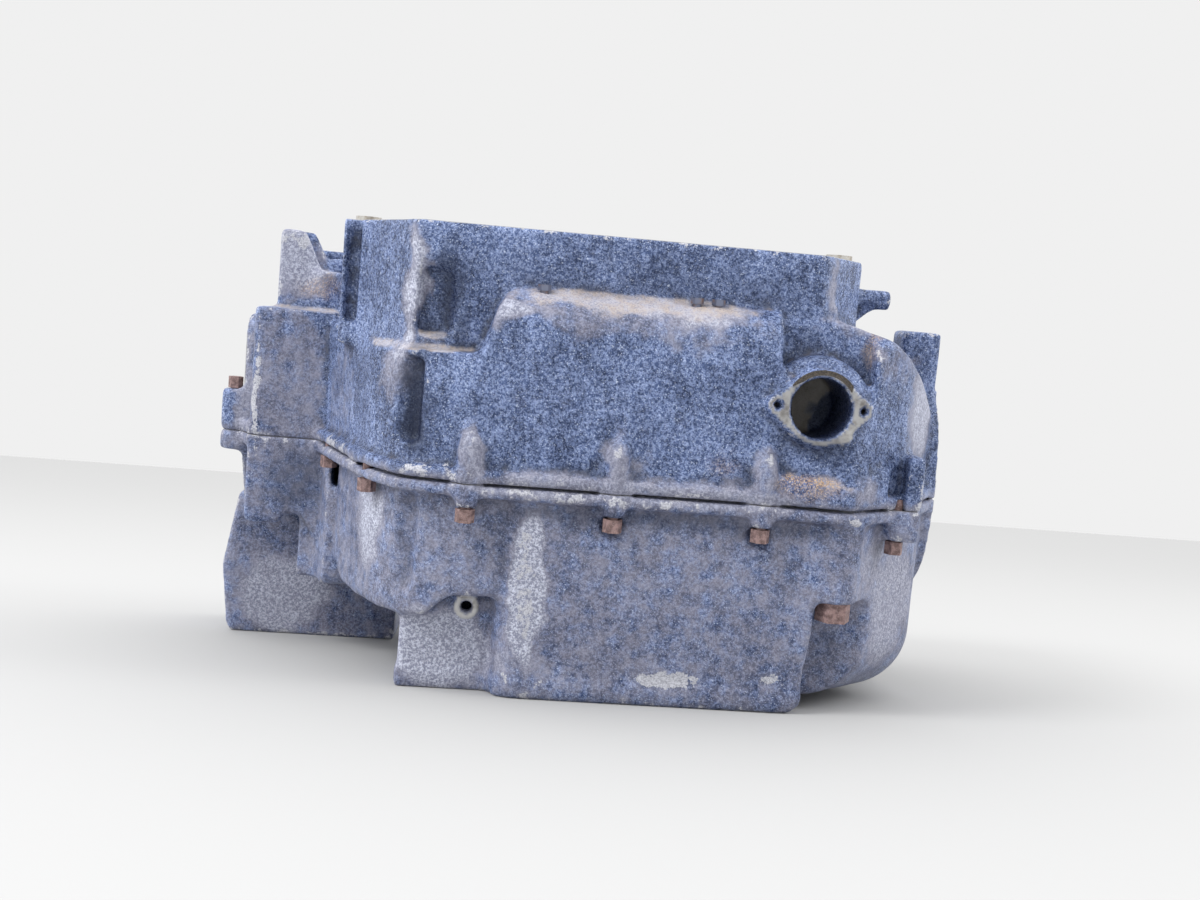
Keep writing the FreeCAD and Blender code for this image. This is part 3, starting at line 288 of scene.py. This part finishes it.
def casting_material():
    """Dark textured paint over cast aluminium, worn, dusty, bare inside and on machined faces, with painted
    highlights and painted shade.
    """
    s = Shader("casting")
    coarse = s.noise(1.9 * MM, 3.0, 0.7)
    grain = s.noise(1.0 * MM, 2.0, 0.7)
    fine = s.noise(0.7 * MM, 2.0)
    patch = s.noise(40 * MM, 5.0, 0.66)
    blotch = s.noise(6 * MM, 3.0, 0.6)
    streak = s.noise(9 * MM, 4.0, 0.65)
    run = s.noise(7 * MM, 3.0, 0.6, stretch=(1.0, 1.0, 0.22))
    wear_and_highlight = s.attribute("wear_and_highlight")
    dust = s.attribute("dust")
    pale_and_highlight = s.attribute("pale_and_highlight")
    grime_and_shade = s.attribute("grime_and_shade")
    raw = s.attribute("raw")
    machined = s.attribute("machined")

    # Paint: grains and pits, slow changes of tone, painted highlights as glinting points, grime and painted
    # shade in the hollows.
    pits = s.ramp(s.weighted((coarse, 0.6), (grain, 0.4)), 0.42, 0.61)
    tone = s.ramp(s.weighted((patch, 0.45), (run, 0.2), (blotch, 0.35)), 0.40, 0.60)
    dark = s.mix(tone, (0.012, 0.022, 0.066), (0.062, 0.098, 0.225))
    light = s.mix(tone, (0.102, 0.142, 0.278), (0.300, 0.376, 0.615))
    paint = s.mix(pits, dark, light)
    # Painted highlights: bright glinting points are painted into the colour.
    painted_glint = s.product(s.ramp(fine, 0.56, 0.67), s.ramp(grain, 0.48, 0.62))
    paint = s.mix(s.product(painted_glint, 0.8), paint, (0.78, 0.85, 1.0))
    # Grime and painted shade: the hollows are darkened in the colour.
    paint = s.mix(s.product(grime_and_shade, s.ramp(streak, 0.3, 0.7)), paint, (0.024, 0.028, 0.050))

    # Chalky film where the paint has gone pale, which also carries painted highlights and sheen on some edges
    # and faces.
    greyed = s.mix(pits, (0.130, 0.131, 0.182), (0.262, 0.266, 0.352))
    greyed = s.mix(s.product(tone, 0.45), greyed, (0.355, 0.36, 0.45))
    bleached = s.mix(pits, (0.215, 0.225, 0.305), (0.600, 0.625, 0.735))
    chalk_and_highlight = s.mix(s.ramp(pale_and_highlight, 0.45, 0.95), greyed, bleached)
    film = s.ramp(s.frayed(pale_and_highlight, streak, 1.1), 0.15, 0.65)
    film = s.product(film, s.ramp(pale_and_highlight, 0.03, 0.18))
    colour = s.mix(film, paint, chalk_and_highlight)

    # Metal rubbed bare, and painted highlights on some edges in the same bare-metal colour.
    worn_and_highlight = s.ramp(s.frayed(s.frayed(wear_and_highlight, coarse, 0.9), streak, 1.8), 0.46, 0.58)
    worn_and_highlight = s.product(worn_and_highlight, s.ramp(wear_and_highlight, 0.06, 0.22))
    alloy = s.mix(s.ramp(grain, 0.35, 0.7), (0.60, 0.605, 0.66), (0.33, 0.335, 0.38))
    colour = s.mix(worn_and_highlight, colour, alloy)

    # Bare casting inside, and machined faces.
    inside = s.mix(s.ramp(patch, 0.35, 0.7), (0.27, 0.255, 0.235), (0.115, 0.095, 0.075))
    inside = s.mix(s.ramp(grain, 0.55, 0.75, 0.0, 0.5), inside, (0.06, 0.05, 0.04))
    colour = s.mix(raw, colour, inside)
    faced = s.mix(s.ramp(streak, 0.40, 0.70), (0.50, 0.495, 0.49), (0.24, 0.225, 0.21))
    colour = s.mix(machined, colour, faced)

    # Dust on level places, painted shade in deep ones, flakes of rust.
    settled = s.ramp(s.frayed(dust, streak, 0.9), 0.22, 0.85)
    settled = s.product(settled, s.ramp(dust, 0.02, 0.12))
    settled = s.product(settled, s.ramp(grain, 0.30, 0.60, 0.45, 0.92))
    powder = s.mix(s.ramp(streak, 0.40, 0.62), (0.43, 0.41, 0.445), (0.44, 0.375, 0.335))
    colour = s.mix(settled, colour, powder)
    colour = s.mix(s.product(s.attribute("shade"), 0.85), colour, (0.008, 0.012, 0.034))
    flakes = s.product(s.attribute("rust"), s.ramp(grain, 0.42, 0.56))
    rust = s.mix(s.ramp(fine, 0.42, 0.62), (0.20, 0.11, 0.055), (0.70, 0.47, 0.23))
    colour = s.mix(flakes, colour, rust)

    rough = s.blend(pits, 0.24, 0.40)
    rough = s.blend(s.larger(film, worn_and_highlight), rough, 0.56)
    rough = s.blend(raw, rough, 0.62)
    rough = s.blend(machined, rough, 0.40)
    rough = s.blend(s.larger(settled, flakes), rough, 0.9)
    metal = s.larger(s.product(worn_and_highlight, 0.35), s.product(machined, 0.7))
    relief = s.weighted((coarse, 0.9), (grain, 0.8), (fine, 0.25))
    normal = s.bump(relief, 0.7 * MM, s.blend(machined, 0.9, 0.08))
    s.wire((0.78, 0.87, 1.0), s.surface.inputs["Specular Tint"])
    return s.finish(colour, rough, metal, normal, Specular_IOR_Level=0.42)


def rust_material():
    """Brown rust film on steel bolts, with lighter rubbed specks."""
    s = Shader("rusty_steel")
    blotch = s.noise(3 * MM, 4.0, 0.6)
    grain = s.noise(0.6 * MM, 3.0)
    colour = s.mix(s.ramp(blotch, 0.35, 0.65), (0.130, 0.078, 0.074), (0.330, 0.222, 0.212))
    colour = s.mix(s.ramp(grain, 0.55, 0.75, 0, 0.6), colour, (0.50, 0.42, 0.41))
    normal = s.bump(s.math("ADD", blotch, grain), 0.3 * MM, 0.7)
    return s.finish(colour, s.ramp(blotch, 0.3, 0.7, 0.48, 0.78), 0.25, normal)


def honed_material():
    """Cross-honed iron of the cylinder liners with a thin brown film."""
    s = Shader("honed_liner")
    lines = s.noise(0.5 * MM, 2.0, stretch=(1, 1, 9))
    film = s.noise(24 * MM, 4.0)
    colour = s.mix(s.ramp(film, 0.4, 0.7), (0.36, 0.35, 0.34), (0.17, 0.12, 0.09))
    normal = s.bump(lines, 0.05 * MM, 0.5)
    return s.finish(colour, s.ramp(film, 0.3, 0.7, 0.28, 0.5), 0.85, normal)


def plain_metal(name, light, dark, rough):
    """Bright small steel part with light staining."""
    s = Shader(name)
    stain = s.noise(5 * MM, 4.0)
    grain = s.noise(0.5 * MM, 2.0)
    colour = s.mix(s.ramp(stain, 0.4, 0.72), light, dark)
    normal = s.bump(grain, 0.06 * MM, 0.5)
    return s.finish(colour, s.ramp(stain, 0.3, 0.7, rough, rough + 0.2), 0.9, normal)


def gasket_material():
    """Torn dark fibre gasket."""
    s = Shader("gasket")
    fibre = s.noise(0.8 * MM, 4.0)
    colour = s.mix(s.ramp(fibre, 0.4, 0.65), (0.035, 0.030, 0.026), (0.12, 0.10, 0.08))
    return s.finish(colour, 0.85, 0.0, s.bump(fibre, 0.3 * MM, 0.8))


def points_of(mesh):
    """Vertex places as an array."""
    flat = np.empty(len(mesh.vertices) * 3)
    mesh.vertices.foreach_get("co", flat)
    return flat.reshape(-1, 3)


def set_points(mesh, points):
    """Move the vertices to new places."""
    mesh.vertices.foreach_set("co", points.astype(np.float32).ravel())
    mesh.update()


def edges_of(mesh):
    """Pairs of vertex numbers as an array."""
    flat = np.empty(len(mesh.edges) * 2, np.int64)
    mesh.edges.foreach_get("vertices", flat)
    return flat.reshape(-1, 2)


def normals_of(mesh):
    """Vertex normals as an array."""
    flat = np.empty(len(mesh.vertices) * 3)
    mesh.vertices.foreach_get("normal", flat)
    return flat.reshape(-1, 3)


def averaged(values, edges, count):
    """Mean of each vertex's neighbours."""
    total = np.zeros_like(values)
    for k in range(values.shape[1]):
        total[:, k] = np.bincount(edges[:, 0], values[edges[:, 1], k], len(values))
        total[:, k] += np.bincount(edges[:, 1], values[edges[:, 0], k], len(values))
    return total / np.maximum(count, 1)[:, None]


def neighbour_count(edges, size):
    """How many edges each vertex has."""
    return np.bincount(edges.ravel(), minlength=size)


def baked(obj):
    """New mesh from an object with its modifiers."""
    graph = bpy.context.evaluated_depsgraph_get()
    return bpy.data.meshes.new_from_object(obj.evaluated_get(graph))


def on_plane(points, normals, axis, place, side, reach, steep):
    """Vertices that lie within reach of a plane and face along its axis."""
    near = np.abs(points[:, axis] - place) < reach
    facing = normals[:, axis] * side > steep if side else np.abs(normals[:, axis]) > steep
    return near & facing


def ground_height(points):
    """Height above the sump face, which is level in the resting attitude."""
    return points @ GROUND_UP + SUMP_DEPTH * MM


def on_ground(points, normals, reach, steep):
    """Vertices on the sump face."""
    return (np.abs(ground_height(points)) < reach) & (normals @ -GROUND_UP > steep)


def on_port(points, normals, reach, steep):
    """Vertices on the coolant port's flange face."""
    x, y, z = (v * MM for v in PORT)
    wide = np.hypot((points[:, 0] - x) / PORT_STRETCH, points[:, 2] - z) < PORT_FACE_REACH * MM
    near = np.abs(points[:, 1] - y) < reach
    return wide & near & (normals[:, 1] < -steep)


def snap(points, normals):
    """Put the machined faces back on their planes after rounding."""
    for axis, place, side in MACHINED_PLANES:
        reach = SNAP_REACH if side else SEAM_REACH
        hit = on_plane(points, normals, axis, place, side, reach, SNAP_FACING)
        points[hit, axis] = place
    hit = on_port(points, normals, SNAP_REACH, SNAP_FACING)
    points[hit, 1] = PORT[1] * MM
    hit = on_ground(points, normals, SNAP_REACH, GROUND_FACING)
    points[hit] -= np.outer(ground_height(points[hit]), GROUND_UP)
    return points


def wave(points, length):
    """Slow waves of a hand-finished mould, from -1 to 1."""
    return np.array([noise.noise(Vector(p) / length) for p in points])


def sky_share(mesh, points, normals):
    """Share of directions in which each vertex sees out of the part."""
    tree = BVHTree.FromPolygons([tuple(p) for p in points], [tuple(f.vertices) for f in mesh.polygons])
    rng = np.random.default_rng(SEED)
    rays = rng.normal(size=(SKY_RAYS, 3))
    rays /= np.linalg.norm(rays, axis=1)[:, None]
    share = np.zeros(len(points))
    for ray in rays:
        facing = normals @ ray
        for i in np.nonzero(np.abs(facing) > GRAZING)[0]:
            way = ray if facing[i] > 0 else -ray
            start = Vector(points[i]) + Vector(normals[i]) * SKY_START
            if tree.ray_cast(start, Vector(way), SKY_REACH)[0] is None:
                share[i] += 1
    return share / SKY_RAYS


def smoothstep(values, low, high):
    """Smooth step of values between two limits."""
    t = np.clip((values - low) / (high - low), 0, 1)
    return t * t * (3 - 2 * t)


def spread(values, edges, count, steps):
    """Blur a value over the surface."""
    field = values[:, None].copy()
    for _ in range(steps):
        field = (1 - BLUR) * field + BLUR * averaged(field, edges, count)
    return field[:, 0]


def patch(points, centre, radii):
    """Soft ellipsoid around a place, in millimetres of the case attitude."""
    offset = (points / MM - np.array(centre)) / np.array(radii)
    return smoothstep(1 - np.linalg.norm(offset, axis=1), 0, 0.55)


# Every patch has its centre and half sizes in mm of the case attitude, and how much of it there is.
# Where the photograph shows rubbed metal, and painted highlights along some edges and corners.
WORN_AND_HIGHLIGHT_PATCHES = [
    ((154, -94, -5), (12, 10, 4), 1.00),
    ((-43, -84, -60), (9, 12, 56), 0.50),
    ((46, -84, -112), (30, 12, 7), 0.72),
    ((112, -84, -109), (14, 12, 6), 0.70),
    ((20, -90, -5), (80, 7, 4), 0.45),
    ((-120, -80, 4), (60, 22, 4), 0.42),
    ((-175, 10, 3), (24, 80, 6), 0.50),
    ((-234, 79, 28), (4, 9, 60), 0.62),
    ((-77, -64, -79), (9, 4, 9), 1.00),
    ((-118, -60, 112), (2.5, 5, 40), 0.60),
    ((-161, -52, 120), (4, 6, 40), 0.55),
    ((-212, 95, 140), (16, 12, 10), 0.60),
    ((123, -82, 60), (40, 7, 26), 0.50),
    ((194, -66, 14), (6, 6, 22), 0.40),
    ((-60, -84, -118), (70, 8, 5), 0.35),
    ((-128, -72, -50), (3, 16, 26), 0.55),
    ((197, -34, -53), (18, 24, 5), 0.40),
    ((-82, -90, 31), (6, 6, 11), 0.55),
    ((6, -90, 31), (6, 6, 11), 0.50),
    ((95, -90, 30), (6, 6, 11), 0.50),
]
# Edges and corners that the real casting rounds off widely.
SOFT_PATCHES = [
    ((-52, -84, -70), (26, 20, 64), 1.00),
    ((10, -78, 114), (116, 26, 16), 0.80),
    ((-82, -78, 96), (18, 26, 26), 0.90),
    ((-150, -40, 80), (50, 60, 16), 0.80),
    ((122, -84, -90), (16, 16, 44), 0.80),
    ((-104, -62, 112), (20, 12, 44), 0.80),
    ((196, -20, 66), (40, 60, 50), 0.60),
    ((-160, -30, -50), (50, 50, 60), 0.60),
    ((98, -80, 86), (10, 16, 34), 0.70),
]
# Where the paint has gone pale and chalky, and painted highlights and sheen on faces and edges that catch the
# light.
PALE_AND_HIGHLIGHT_PATCHES = [
    ((-160, -34, -38), (42, 56, 52), 0.95),
    ((-90, -82, -103), (34, 16, 26), 0.55),
    ((-134, -60, 112), (30, 16, 66), 0.85),
    ((-137, -58, 62), (34, 22, 26), 0.55),
    ((-245, 95, 30), (14, 40, 80), 0.60),
    ((-210, 98, 125), (40, 34, 40), 0.75),
    ((200, -14, 64), (38, 56, 54), 0.80),
    ((172, -58, 96), (24, 40, 40), 0.35),
    ((192, -36, -64), (48, 60, 66), 0.66),
    ((60, -84, -70), (110, 16, 70), 0.40),
    ((-215, 150, -122), (60, 40, 44), 0.30),
    ((145, -60, 130), (26, 20, 40), 0.62),
    ((-43, -84, -60), (16, 14, 64), 0.60),
    ((15, -88, 2), (190, 14, 16), 0.62),
    ((10, -78, 104), (110, 14, 26), 0.45),
    ((15, -84, 8), (22, 14, 34), 0.35),
    ((-82, -90, 22), (14, 14, 28), 0.62),
    ((5, -90, 22), (14, 14, 28), 0.56),
    ((95, -90, 20), (14, 14, 28), 0.56),
    ((-170, 40, 40), (30, 60, 50), 0.30),
    ((-158, -57, 112), (3, 8, 48), 0.90),
    ((-144, -64, 62), (4, 10, 24), 1.00),
    ((-66, -80, 108), (26, 14, 18), 0.75),
    ((40, -80, 112), (84, 14, 15), 0.72),
    ((140, -84, 13), (44, 16, 12), 0.62),
    ((-42, -84, -64), (17, 16, 76), 1.00),
    ((-70, -82, -110), (44, 14, 16), 0.60),
    ((-212, 80, 30), (46, 12, 90), 0.50),
    ((172, -64, -34), (24, 24, 30), 0.60),
    ((-215, 138, -124), (60, 18, 50), 0.75),
    ((-92, -62, -106), (54, 26, 40), 0.85),
]
# Where pale dust lies.
DUST_PATCHES = [
    ((10, -68, 114), (104, 22, 16), 0.90),
    ((-118, -62, 80), (62, 26, 11), 1.00),
    ((-150, -34, 80), (44, 58, 12), 1.00),
    ((140, -86, 14), (44, 16, 12), 0.62),
    ((150, -40, 112), (60, 40, 14), 0.40),
    ((-205, 98, 96), (48, 30, 14), 0.80),
    ((0, -92, 6), (200, 10, 7), 0.45),
    ((195, -30, 100), (40, 60, 20), 0.45),
]
# Painted shade in deep places and hollows, and a few oily spots that are dark themselves.
SHADE_PATCHES = [
    ((123.4, -64, 60.5), (22, 27, 22), 1.00),
    ((-60, -84, -62), (8, 12, 56), 0.45),
    ((-117, -64, 44), (14, 24, 44), 1.00),
    ((-101, -58, 112), (13, 14, 38), 0.75),
    ((-153, -54, 112), (6, 18, 60), 0.90),
    ((15, -84, -15), (190, 10, 7), 0.55),
    ((118, -70, 102), (20, 16, 22), 0.50),
    ((-119, -66, -36), (9, 14, 42), 0.50),
    ((123, -88, 36), (26, 8, 13), 0.55),
    ((123, -90, 60), (70, 5, 44), 0.20),
    ((-90, -62, 90), (7, 8, 18), 0.60),
    ((20, -62, 126), (170, 6, 18), 0.30),
    ((-52, -86, -60), (5, 8, 60), 0.45),
    ((148, -76, -95), (16, 24, 24), 0.50),
    ((-200, 80, -30), (30, 20, 34), 0.55),
    ((-130, -70, -92), (16, 30, 10), 0.50),
]
# Where rust and golden flakes show.
RUST_PATCHES = [
    ((122, -88, 13), (29, 14, 9), 0.90),
    ((69, -88, 20), (14, 10, 9), 0.80),
    ((160, -62, 98), (7, 12, 15), 0.70),
    ((-166, -42, 82), (22, 18, 6), 0.55),
    ((-194, 98, 106), (26, 24, 9), 0.75),
    ((204, -4, 108), (22, 18, 8), 0.35),
    ((-212, 92, 146), (14, 8, 8), 0.50),
    ((60, -74, 118), (60, 10, 5), 0.30),
]


def unevenness(points):
    """Vector noise that makes the outlines of patches uneven."""
    slow = np.array([noise.noise_vector(Vector(p) / PATCH_WAVE) for p in points])
    fine = np.array([noise.noise_vector(Vector(p) / PATCH_FINE_WAVE) for p in points])
    return slow + 0.5 * fine


def in_patches(points, uneven, patches):
    """Strongest of several soft patches at each point, with uneven outlines."""
    field = np.zeros(len(points))
    for centre, radii, amount in patches:
        shifted = points + uneven * min(PATCH_SHIFT, SHIFT_SHARE * MM * sorted(radii)[1])
        field = np.maximum(field, amount * patch(shifted, centre, radii))
    return field


def add_attribute(mesh, name, values):
    """Keep one number per vertex on the mesh."""
    layer = mesh.attributes.new(name, "FLOAT", "POINT")
    layer.data.foreach_set("value", values.astype(np.float32))


def bulge_of(points, normals, edges, count):
    """How far each vertex stands out of its wider surroundings, in millimetres."""
    soft = points.copy()
    for _ in range(BULGE_STEPS):
        soft = (1 - BLUR) * soft + BLUR * averaged(soft, edges, count)
    return np.einsum("ij,ij->i", points - soft, normals) / MM


def machined_field(points, normals):
    """1 on machined faces and on the ring of the drain hole."""
    field = on_ground(points, normals, BARE_REACH, BARE_FACING)
    field |= on_port(points, normals, BARE_REACH, PORT_FACING)
    for axis, place, side in MACHINED_PLANES:
        if abs(place) != SEAM_RELIEF * MM:
            field |= on_plane(points, normals, axis, place, side, BARE_REACH, BARE_FACING)
    ring = smoothstep(patch(points, DRAIN, DRAIN_RING), 0.0, 0.3)
    return np.maximum(field.astype(float), ring * (normals[:, 1] < -0.8))


def bare_field(points, sky):
    """1 on the bare casting inside: closed rooms away from the seam, and the open clutch chamber."""
    along, back, up = (points / MM).T
    closed = (1 - smoothstep(sky, 0.05, 0.13)) * (np.abs(up) > 3)
    off_axis = np.hypot(back - CLUTCH_AXIS[0], up - CLUTCH_AXIS[1])
    chamber = (off_axis < CLUTCH_REACH) & (along > LEFT_X + 1) & (along < CLUTCH_BACK)
    return np.maximum(closed, chamber)


def paint_fields(mesh, lower):
    """Write the fields that the casting's material reads."""
    points = points_of(mesh)
    normals = normals_of(mesh)
    edges = edges_of(mesh)
    count = neighbour_count(edges, len(points))
    bulge = bulge_of(points, normals, edges, count)
    sky = spread(sky_share(mesh, points, normals), edges, count, SKY_STEPS)
    uneven = unevenness(points)
    height = points[:, 2] / MM
    level = smoothstep(normals[:, 2], 0.25, 0.85)
    slot = (1 - smoothstep(np.abs(height), 0.6, 1.6)) * (1 - smoothstep(sky, 0.15, 0.35))
    rim = np.exp(-(height / 7.0) ** 2) * smoothstep(sky, 0.25, 0.45)
    raw = bare_field(points, sky)

    # Wear on standing edges and along the seam; some patches are painted highlights.
    wear_and_highlight = np.maximum(0.36 * smoothstep(bulge, 0.25, 0.9), 0.30 * rim)
    wear_and_highlight = np.maximum(wear_and_highlight, in_patches(points, uneven, WORN_AND_HIGHLIGHT_PATCHES)) * smoothstep(sky, 0.1, 0.3)
    # Pale chalky film on open faces; some patches are painted highlights and sheen.
    pale_and_highlight = (0.42 if lower else 0.10) * smoothstep(sky, 0.2, 0.5)
    pale_and_highlight = np.maximum(pale_and_highlight, in_patches(points, uneven, PALE_AND_HIGHLIGHT_PATCHES))
    pale_and_highlight = np.maximum(pale_and_highlight, 0.55 * rim)
    dust = 0.30 * level * smoothstep(-bulge, -0.2, 0.4)
    dust = np.maximum(dust, in_patches(points, uneven, DUST_PATCHES) * (0.15 + 0.85 * level))
    rust = in_patches(points, uneven, RUST_PATCHES) * (0.55 + 0.45 * level)
    # Grime, partly painted shade: darker in hollows, in places that see little sky, and in the seam slot.
    grime_and_shade = smoothstep(-bulge, 0.05, 0.6) + 0.6 * (1 - smoothstep(sky, 0.2, 0.55)) + slot

    # Painted shade: patches, hollows, the seam slot and the inside of the port's bore are darkened.
    shade = np.maximum(in_patches(points, uneven, SHADE_PATCHES), 0.45 * smoothstep(-bulge, 0.25, 1.0))
    x, y, z = (v * MM for v in PORT)
    bore = np.hypot(points[:, 0] - x, points[:, 2] - z) < PORT_BORE_REACH * MM
    bore &= (points[:, 1] > y + 1.2 * MM) & (points[:, 1] < y + PORT_BORE_DEPTH * MM)
    shade = np.maximum(shade, np.maximum(slot, bore))

    fields = {
        "wear_and_highlight": wear_and_highlight * (1 - slot),
        "pale_and_highlight": pale_and_highlight * (1 - slot),
        "dust": dust * (1 - slot),
        "rust": rust,
        "raw": raw,
        "machined": machined_field(points, normals),
        "grime_and_shade": grime_and_shade,
        "shade": shade * (1 - raw),
    }
    for name, values in fields.items():
        add_attribute(mesh, name, np.clip(values, 0, 1))


def welded(mesh):
    """Join the corners that the CAD mesh's faces share."""
    work = bmesh.new()
    work.from_mesh(mesh)
    bmesh.ops.remove_doubles(work, verts=work.verts, dist=WELD)
    work.to_mesh(mesh)
    work.free()
    mesh.materials.clear()


def rounded(mesh):
    """Soft edges and slow waves of a casting, with its machined faces flat."""
    points = points_of(mesh)
    edges = edges_of(mesh)
    count = neighbour_count(edges, len(points))
    for _ in range(ROUNDING_STEPS):
        points = (1 - ROUNDING) * points + ROUNDING * averaged(points, edges, count)
    soft = SOFTENING * in_patches(points, unevenness(points), SOFT_PATCHES)[:, None]
    for _ in range(SOFT_STEPS):
        points = points + soft * (averaged(points, edges, count) - points)
    set_points(mesh, points)

    normals = normals_of(mesh)
    flat = snap(points.copy(), normals)
    still = np.abs(flat - points).sum(axis=1) > 0
    uneven = wave(points, WAVE_LENGTH) * WAVE_HEIGHT
    uneven[still] = 0
    set_points(mesh, flat + normals * uneven[:, None])


def cast_piece(node, material):
    """The casting with the soft edges of a real one, in place of its CAD node."""
    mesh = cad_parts[node].data.copy()
    mesh.transform(TO_CASE)
    welded(mesh)
    obj = bpy.data.objects.new(node + "_casting", mesh)
    bpy.context.scene.collection.objects.link(obj)
    grid = obj.modifiers.new("grid", "REMESH")
    grid.mode = "VOXEL"
    grid.voxel_size = VOXEL
    fine = baked(obj)
    obj.modifiers.clear()

    rounded(fine)
    obj.data = fine
    thin = obj.modifiers.new("thin", "DECIMATE")
    thin.ratio = min(1.0, FACE_LIMIT / (2 * len(fine.polygons)))
    final = baked(obj)
    obj.modifiers.clear()
    paint_fields(final, node == "lower_case")
    final.transform(TO_REST)
    final.shade_smooth()
    obj.data = final
    final.materials.append(material)
    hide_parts(node)
    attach(obj, "root")


def dress(names, material):
    """Give carried-over CAD nodes a better material."""
    for name in names:
        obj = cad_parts[name]
        obj.data.materials.clear()
        obj.data.materials.append(material)


def add_floor():
    """Pale floor under the part, which keeps its shadow."""
    floor_z = -SUMP_DEPTH * MM
    corners = [(-1, -1), (1, -1), (1, 1), (-1, 1)]
    mesh = bpy.data.meshes.new("floor")
    mesh.from_pydata([(x * FLOOR_REACH, y * FLOOR_REACH, floor_z) for x, y in corners], [], [(0, 1, 2, 3)])
    floor = bpy.data.objects.new("floor", mesh)
    bpy.context.scene.collection.objects.link(floor)
    s = Shader("pale_floor")
    mesh.materials.append(s.finish(FLOOR_COLOUR, 1.0, Specular_IOR_Level=0.0))


def add_sky():
    """White surroundings that light the part, and show paler where they are seen or mirrored."""
    world = bpy.data.worlds.new("room")
    bpy.context.scene.world = world
    world.use_nodes = True
    tree = world.node_tree
    way = tree.nodes.new("ShaderNodeTexCoord")
    side = tree.nodes.new("ShaderNodeVectorMath")
    side.operation = "DOT_PRODUCT"
    side.inputs[1].default_value = FRONT_WAY
    tree.links.new(way.outputs["Generated"], side.inputs[0])
    dim = tree.nodes.new("ShaderNodeMapRange")
    dim.interpolation_type = "SMOOTHSTEP"
    tree.links.new(side.outputs["Value"], dim.inputs["Value"])
    limits = {"From Min": 0.35, "From Max": 0.85, "To Min": SKY_LIGHT, "To Max": FRONT_LIGHT}
    for name, value in limits.items():
        dim.inputs[name].default_value = value

    path = tree.nodes.new("ShaderNodeLightPath")
    seen = path.outputs["Is Camera Ray"]
    for name in ("Is Glossy Ray", "Is Transmission Ray"):
        either = tree.nodes.new("ShaderNodeMath")
        either.operation = "MAXIMUM"
        tree.links.new(seen, either.inputs[0])
        tree.links.new(path.outputs[name], either.inputs[1])
        seen = either.outputs[0]
    amount = tree.nodes.new("ShaderNodeMix")
    amount.data_type = "FLOAT"
    tree.links.new(seen, amount.inputs["Factor"])
    tree.links.new(dim.outputs["Result"], amount.inputs[2])
    amount.inputs[3].default_value = BACKDROP
    back = tree.nodes["Background"]
    back.inputs["Color"].default_value = (1, 1, 1, 1)
    tree.links.new(amount.outputs[0], back.inputs["Strength"])


def nodes_named(start):
    """Names of the CAD nodes that begin with a word."""
    return [name for name in sorted(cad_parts) if name.startswith(start)]


def main():
    add_camera()
    add_floor()
    add_sky()
    area_light("key", (-1.6, -1.0, 1.7), 0.8, 34)
    area_light("right_fill", (1.9, -0.4, 1.2), 0.8, 13)
    casting = casting_material()
    for node in ("upper_case", "lower_case"):
        cast_piece(node, casting)

    bolts = [
        "front_seam_bolts", "corner_seam_bolts", "rear_seam_bolts", "main_bearing_bolts", "large_corner_bolt",
        "side_lug_bolt",
    ]
    dress(bolts, rust_material())
    dress(nodes_named("cylinder_liner"), honed_material())
    shell = plain_metal("bearing_shell", (0.50, 0.48, 0.44), (0.25, 0.20, 0.15), 0.3)
    dress(nodes_named("main_shell"), shell)
    dowel = plain_metal("dowel", (0.66, 0.64, 0.60), (0.38, 0.32, 0.25), 0.28)
    dress(["deck_dowels", "case_dowels"], dowel)
    stud = plain_metal("stained_stud", (0.20, 0.22, 0.30), (0.26, 0.17, 0.13), 0.45)
    dress(["front_stud_heads"], stud)
    dress(["port_gasket_remnant"], gasket_material())
    bpy.context.scene.view_settings.view_transform = "Standard"


main()
